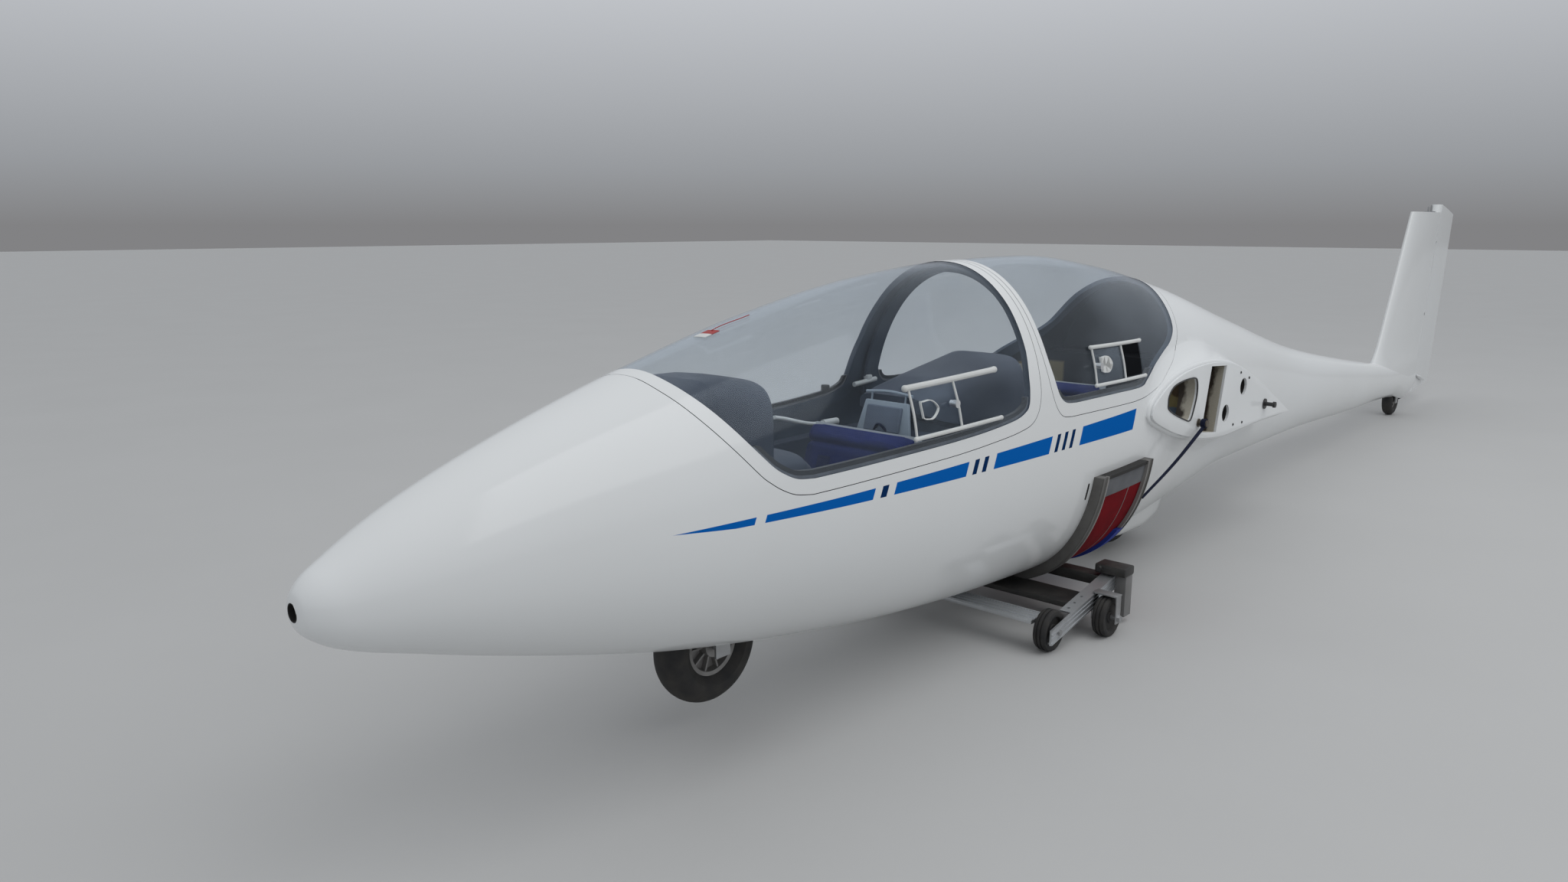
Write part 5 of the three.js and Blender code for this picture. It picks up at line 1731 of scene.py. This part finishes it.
for end, rim, bead in (("front", FRONT_RIM, 2.3170), ("rear", REAR_RIM, 2.6940)):
    piece(f"{end}_saddle_rim", saddle_rim(*rim, bead), AIRFRAME, saddle_grey,
          replaces=(f"saddle_{end}_rim",), slot="saddle_grey")
BAND_TOP = SADDLE_TOP - 0.0113
for name, band, finish, replaced, slot_name in (
        ("front_saddle_bead", (2.3400, 2.3475, 0.0340, 0.023, SADDLE_FOOT, SADDLE_TOP + 0.001), bead_grey, (),
         "saddle_grey"),
        ("rear_saddle_bead", (2.6525, 2.6600, 0.0340, 0.023, SADDLE_FOOT, SADDLE_TOP + 0.001), bead_grey, (),
         "saddle_grey"),
        ("saddle_top_rail", (2.3452, 2.6548, SADDLE_OUT, LINING_SLACK, SADDLE_TOP - 0.011, SADDLE_TOP),
         dark_hole, (), "black_steel"),
        ("saddle_red_carpet", (2.3453, 2.6547, 0.022, LINING_SLACK, SADDLE_FOOT, SADDLE_BAND_LOW), red_carpet,
         ("saddle_lining",), "red_carpet"),
        ("saddle_grey_band", (2.3453, 2.6547, 0.0235, LINING_SLACK, SADDLE_BAND_LOW, BAND_TOP),
         band_carpet, (), "saddle_grey"),
        ("saddle_seam", (2.5480, 2.5505, 0.0232, 0.018, 0.12, SADDLE_BAND_LOW), bead_grey, (), "saddle_grey"),
        ("saddle_strap", (2.622, 2.672, 0.0345, 0.0210, SADDLE_FOOT, 0.222), blue_webbing, (), "navy_cloth")):
    piece(name, saddle_part(*band), AIRFRAME, finish, replaces=replaced, slot=slot_name)


# The dolly's rails, bars and wheels

RAIL_IN, RAIL_OUT = 0.4053, 0.4110
RAIL_END = 2.400
RAIL_DEPTH = 0.046
CASTER_RADIUS = 0.0625
# Each castor's place: its station and its distance from the middle
FRONT_CASTER = (2.015, 0.377)
REAR_CASTER = (2.240, 0.448)
BAR_HALF = 0.3454


def rail_top(station):
    """The height of the rail's top edge, which climbs aft in a straight line."""
    low_station, low_z, high_station, high_z = 1.995, 0.084, 2.520, 0.186
    return low_z + (station - low_station) * (high_z - low_z) / (high_station - low_station)


def along_rail(first, last, upper, lower, near, far):
    """A strip of the sloping rail, between two depths below its top edge."""
    return side_plate([(first, rail_top(first) - upper), (last, rail_top(last) - upper),
                       (last, rail_top(last) - lower), (first, rail_top(first) - lower)], near, far)


def rail_form():
    web = along_rail(1.970, RAIL_END, 0.0, RAIL_DEPTH, RAIL_IN, RAIL_OUT)
    holes = [rod((s, 0.387, rail_top(s) - 0.02), (s, 0.387, rail_top(s) + 0.02), 0.0045)
             for s in (2.112, 2.148, 2.191)]
    flange = cut(along_rail(2.090, RAIL_END, 0.0, 0.005, RAIL_IN - 0.036, RAIL_IN + OVERLAP), *holes)
    lip = along_rail(1.975, RAIL_END - 0.005, 0.041, RAIL_DEPTH, RAIL_IN - 0.008, RAIL_IN + OVERLAP)
    ridges = [along_rail(1.972, RAIL_END - 0.002, depth, depth + 0.005, RAIL_OUT - OVERLAP, RAIL_OUT + 0.0022)
              for depth in (0.0, 0.013, 0.026, 0.041)]
    return join(web, flange, lip, *ridges)


def rail_fittings():
    """The axle stubs, the rear wheel's outer strut with its arch, and a nut at each axle."""
    front, rear, z = FRONT_CASTER[0], REAR_CASTER[0], CASTER_RADIUS
    front_axle = rod((front, 0.346, z), (front, RAIL_IN + 0.002, z), 0.007)
    rear_axle = rod((rear, RAIL_IN + 0.002, z), (rear, 0.484, z), 0.007)
    hanger = block(2.222, 2.258, RAIL_IN, RAIL_OUT, 0.048, 0.125, 0.001)
    arch = block(2.222, 2.258, RAIL_IN + 0.001, 0.486, 0.131, 0.136, 0.001)
    strut = block(2.225, 2.255, 0.481, 0.486, 0.046, 0.134, 0.0018)
    nuts = [rod((rear, 0.4855, z), (rear, 0.494, z), 0.011, 6),
            rod((front, RAIL_OUT - OVERLAP, z), (front, RAIL_OUT + 0.006, z), 0.010, 6)]
    return join(front_axle, rear_axle, hanger, arch, strut, *nuts)


def post_form():
    """The channel-shaped grey post at the rail's upper end."""
    outer = block(2.362, 2.408, RAIL_OUT - 0.001, 0.448, 0.022, 0.172, 0.002)
    return cut(outer, block(2.366, 2.420, RAIL_OUT + 0.004, 0.444, 0.010, 0.166))


def clamp_form():
    return join(block(2.336, 2.402, 0.352, 0.456, 0.158, 0.188, 0.006),
                rod((2.340, 0.370, 0.174), (2.328, 0.370, 0.174), 0.010, 24, 0.008))


def wheel_form(station, y):
    """A solid rubber wheel with two grooves round it."""
    half, radius = 0.021, CASTER_RADIUS
    floor = radius - 0.0035
    profile = [(0.0076, -half * 0.70), (0.018, -half * 0.72), (0.020, -half * 0.55), (0.040, -half * 0.55),
               (0.044, -half * 0.90), (0.052, -half), (0.0590, -half * 0.92), (radius, -half * 0.60)]
    for middle in (-0.0062, 0.0062):
        profile += [(radius, middle - 0.0022), (floor, middle - 0.0014), (floor, middle + 0.0014),
                    (radius, middle + 0.0022)]
    profile += [(radius, half * 0.60), (0.0590, half * 0.92), (0.052, half), (0.044, half * 0.90),
                (0.040, half * 0.55), (0.020, half * 0.55), (0.018, half * 0.72), (0.0076, half * 0.70)]
    return turned(profile, (NOSE_X - station, y, radius), 72)


def ribbed_bar():
    """The front crossbar, with ribs along its top and a tab down at each end."""
    plate = block(1.966, 2.048, -BAR_HALF, BAR_HALF, 0.084, 0.096, 0.0015)
    ribs = [block(s - 0.0025, s + 0.0025, -BAR_HALF, BAR_HALF, 0.094, 0.0985, 0.001)
            for s in (1.972, 1.992, 2.012, 2.032, 2.043)]
    tabs = [block(1.998, 2.032, near, near + 0.008, 0.046, 0.090, 0.001)
            for near in (-BAR_HALF, BAR_HALF - 0.008)]
    return join(plate, *ribs, *tabs)


def flat_bar():
    return block(2.196, 2.320, -0.405, 0.405, 0.070, 0.088, 0.0025)


def saddle_block():
    """A block between the rail and the saddle, cut to the saddle's curve."""
    solid = block(2.345, 2.398, 0.150, 0.405, 0.112, 0.146, 0.004)
    return cut(solid, body_solid(2.2, 2.7, -SADDLE_OUT - LINING_SLACK))


for name, turn_over in (("left", lambda form: form), ("right", mirrored)):
    parts = (
        ("rail", rail_form(), aluminium, ("dolly_rail",), "aluminium"),
        ("rail_fittings", rail_fittings(), plated_steel, (), "steel"),
        ("rail_post", post_form(), post_grey, (), "saddle_grey"),
        ("rail_clamp", clamp_form(), black_paint, (), "black_steel"),
        ("saddle_block", saddle_block(), black_paint, ("saddle_bracket",), "black_steel"),
    )
    for label, form, finish, replaced, slot_name in parts:
        piece(f"{label}_{name}", turn_over(form), AIRFRAME, finish,
              replaces=tuple(f"{node}_{name}" for node in replaced), slot=slot_name)
    for end, place in (("front", FRONT_CASTER), ("rear", REAR_CASTER)):
        piece(f"{end}_caster_{name}_wheel", turn_over(wheel_form(*place)), f"{end}_caster_{name}",
              black_rubber, replaces=(f"dolly_{end}_wheel_{name}",), slot="caster")
piece("ribbed_crossbar", ribbed_bar(), AIRFRAME, aluminium, replaces=("dolly_front_crossbar",),
      slot="aluminium")
piece("flat_crossbar", flat_bar(), AIRFRAME, black_paint, replaces=("dolly_rear_crossbar",),
      slot="black_steel")


# Finishes of the nodes that are shown as they are

for name, finish in (("tailplane_fitting", plated_steel), ("spar_tunnel", bare_laminate),
                     ("cockpit_floor", floor_carpet), ("nose_fork", plated_steel),
                     ("main_axle", plated_steel), ("tail_fork", plated_steel)):
    refinish(name, finish)


# Floor, light and camera


def pale_floor():
    finish = Finish("pale_floor")
    tone = finish.blend(finish.noise(1.5, 3.0), rgb(0.52, 0.52, 0.515), rgb(0.49, 0.49, 0.485))
    return finish.surface(base_color=tone, roughness=0.6)


def make_floor():
    form = bmesh.new()
    bmesh.ops.create_grid(form, x_segments=1, y_segments=1, size=60.0)
    floor = as_object(form, "floor")
    floor.data.materials.append(pale_floor())


# Colours of the sky by the height looked at, from the horizon to overhead
SKY_STOPS = ((0.0, rgb(0.36, 0.36, 0.37)), (0.05, rgb(0.50, 0.52, 0.55)), (0.20, rgb(0.86, 0.89, 0.94)),
             (1.0, rgb(1.12, 1.15, 1.18)))
SKY_STRENGTH = 0.62
LAMP_WATTS, LAMP_SIZE = 180, 7.0
LAMP_PLACE = (1.0, 4.0, 7.0)
LAMP_AIM = (0.5, 0, 0.5)


def make_light():
    """An overcast sky, brighter overhead, and one soft lamp above the left side."""
    world = bpy.data.worlds.new("overcast")
    world.use_nodes = True
    nodes, links = world.node_tree.nodes, world.node_tree.links
    nodes.clear()
    where = nodes.new("ShaderNodeTexCoord")
    split = nodes.new("ShaderNodeSeparateXYZ")
    ramp = nodes.new("ShaderNodeValToRGB")
    glow = nodes.new("ShaderNodeBackground")
    out = nodes.new("ShaderNodeOutputWorld")
    set_stops(ramp.color_ramp, SKY_STOPS)
    glow.inputs["Strength"].default_value = SKY_STRENGTH
    links.new(where.outputs["Generated"], split.inputs[0])
    links.new(split.outputs["Z"], ramp.inputs["Fac"])
    links.new(ramp.outputs["Color"], glow.inputs["Color"])
    links.new(glow.outputs[0], out.inputs["Surface"])
    bpy.context.scene.world = world
    lamp = bpy.data.lights.new("soft_lamp", "AREA")
    lamp.energy = LAMP_WATTS
    lamp.size = LAMP_SIZE
    holder = bpy.data.objects.new("soft_lamp", lamp)
    holder.location = LAMP_PLACE
    holder.rotation_euler = (Vector(LAMP_AIM) - holder.location).to_track_quat("-Z", "Y").to_euler()
    bpy.context.collection.objects.link(holder)


CAMERA_PLACE = Vector((4.8934, 1.8493, 1.2383))
CAMERA_YAW = math.radians(222.9468)
CAMERA_PITCH = math.radians(-11.3957)
SENSOR_WIDTH, LENS = 36, 24.61


def make_camera():
    data = bpy.data.cameras.new("camera")
    data.sensor_width = SENSOR_WIDTH
    data.lens = LENS
    camera = bpy.data.objects.new("camera", data)
    camera.location = CAMERA_PLACE
    level = math.cos(CAMERA_PITCH)
    ahead = Vector((math.cos(CAMERA_YAW) * level, math.sin(CAMERA_YAW) * level, math.sin(CAMERA_PITCH)))
    camera.rotation_euler = ahead.to_track_quat("-Z", "Y").to_euler()
    bpy.context.collection.objects.link(camera)
    bpy.context.scene.camera = camera


make_floor()
make_light()
make_camera()
bpy.context.scene.view_settings.view_transform = "Standard"
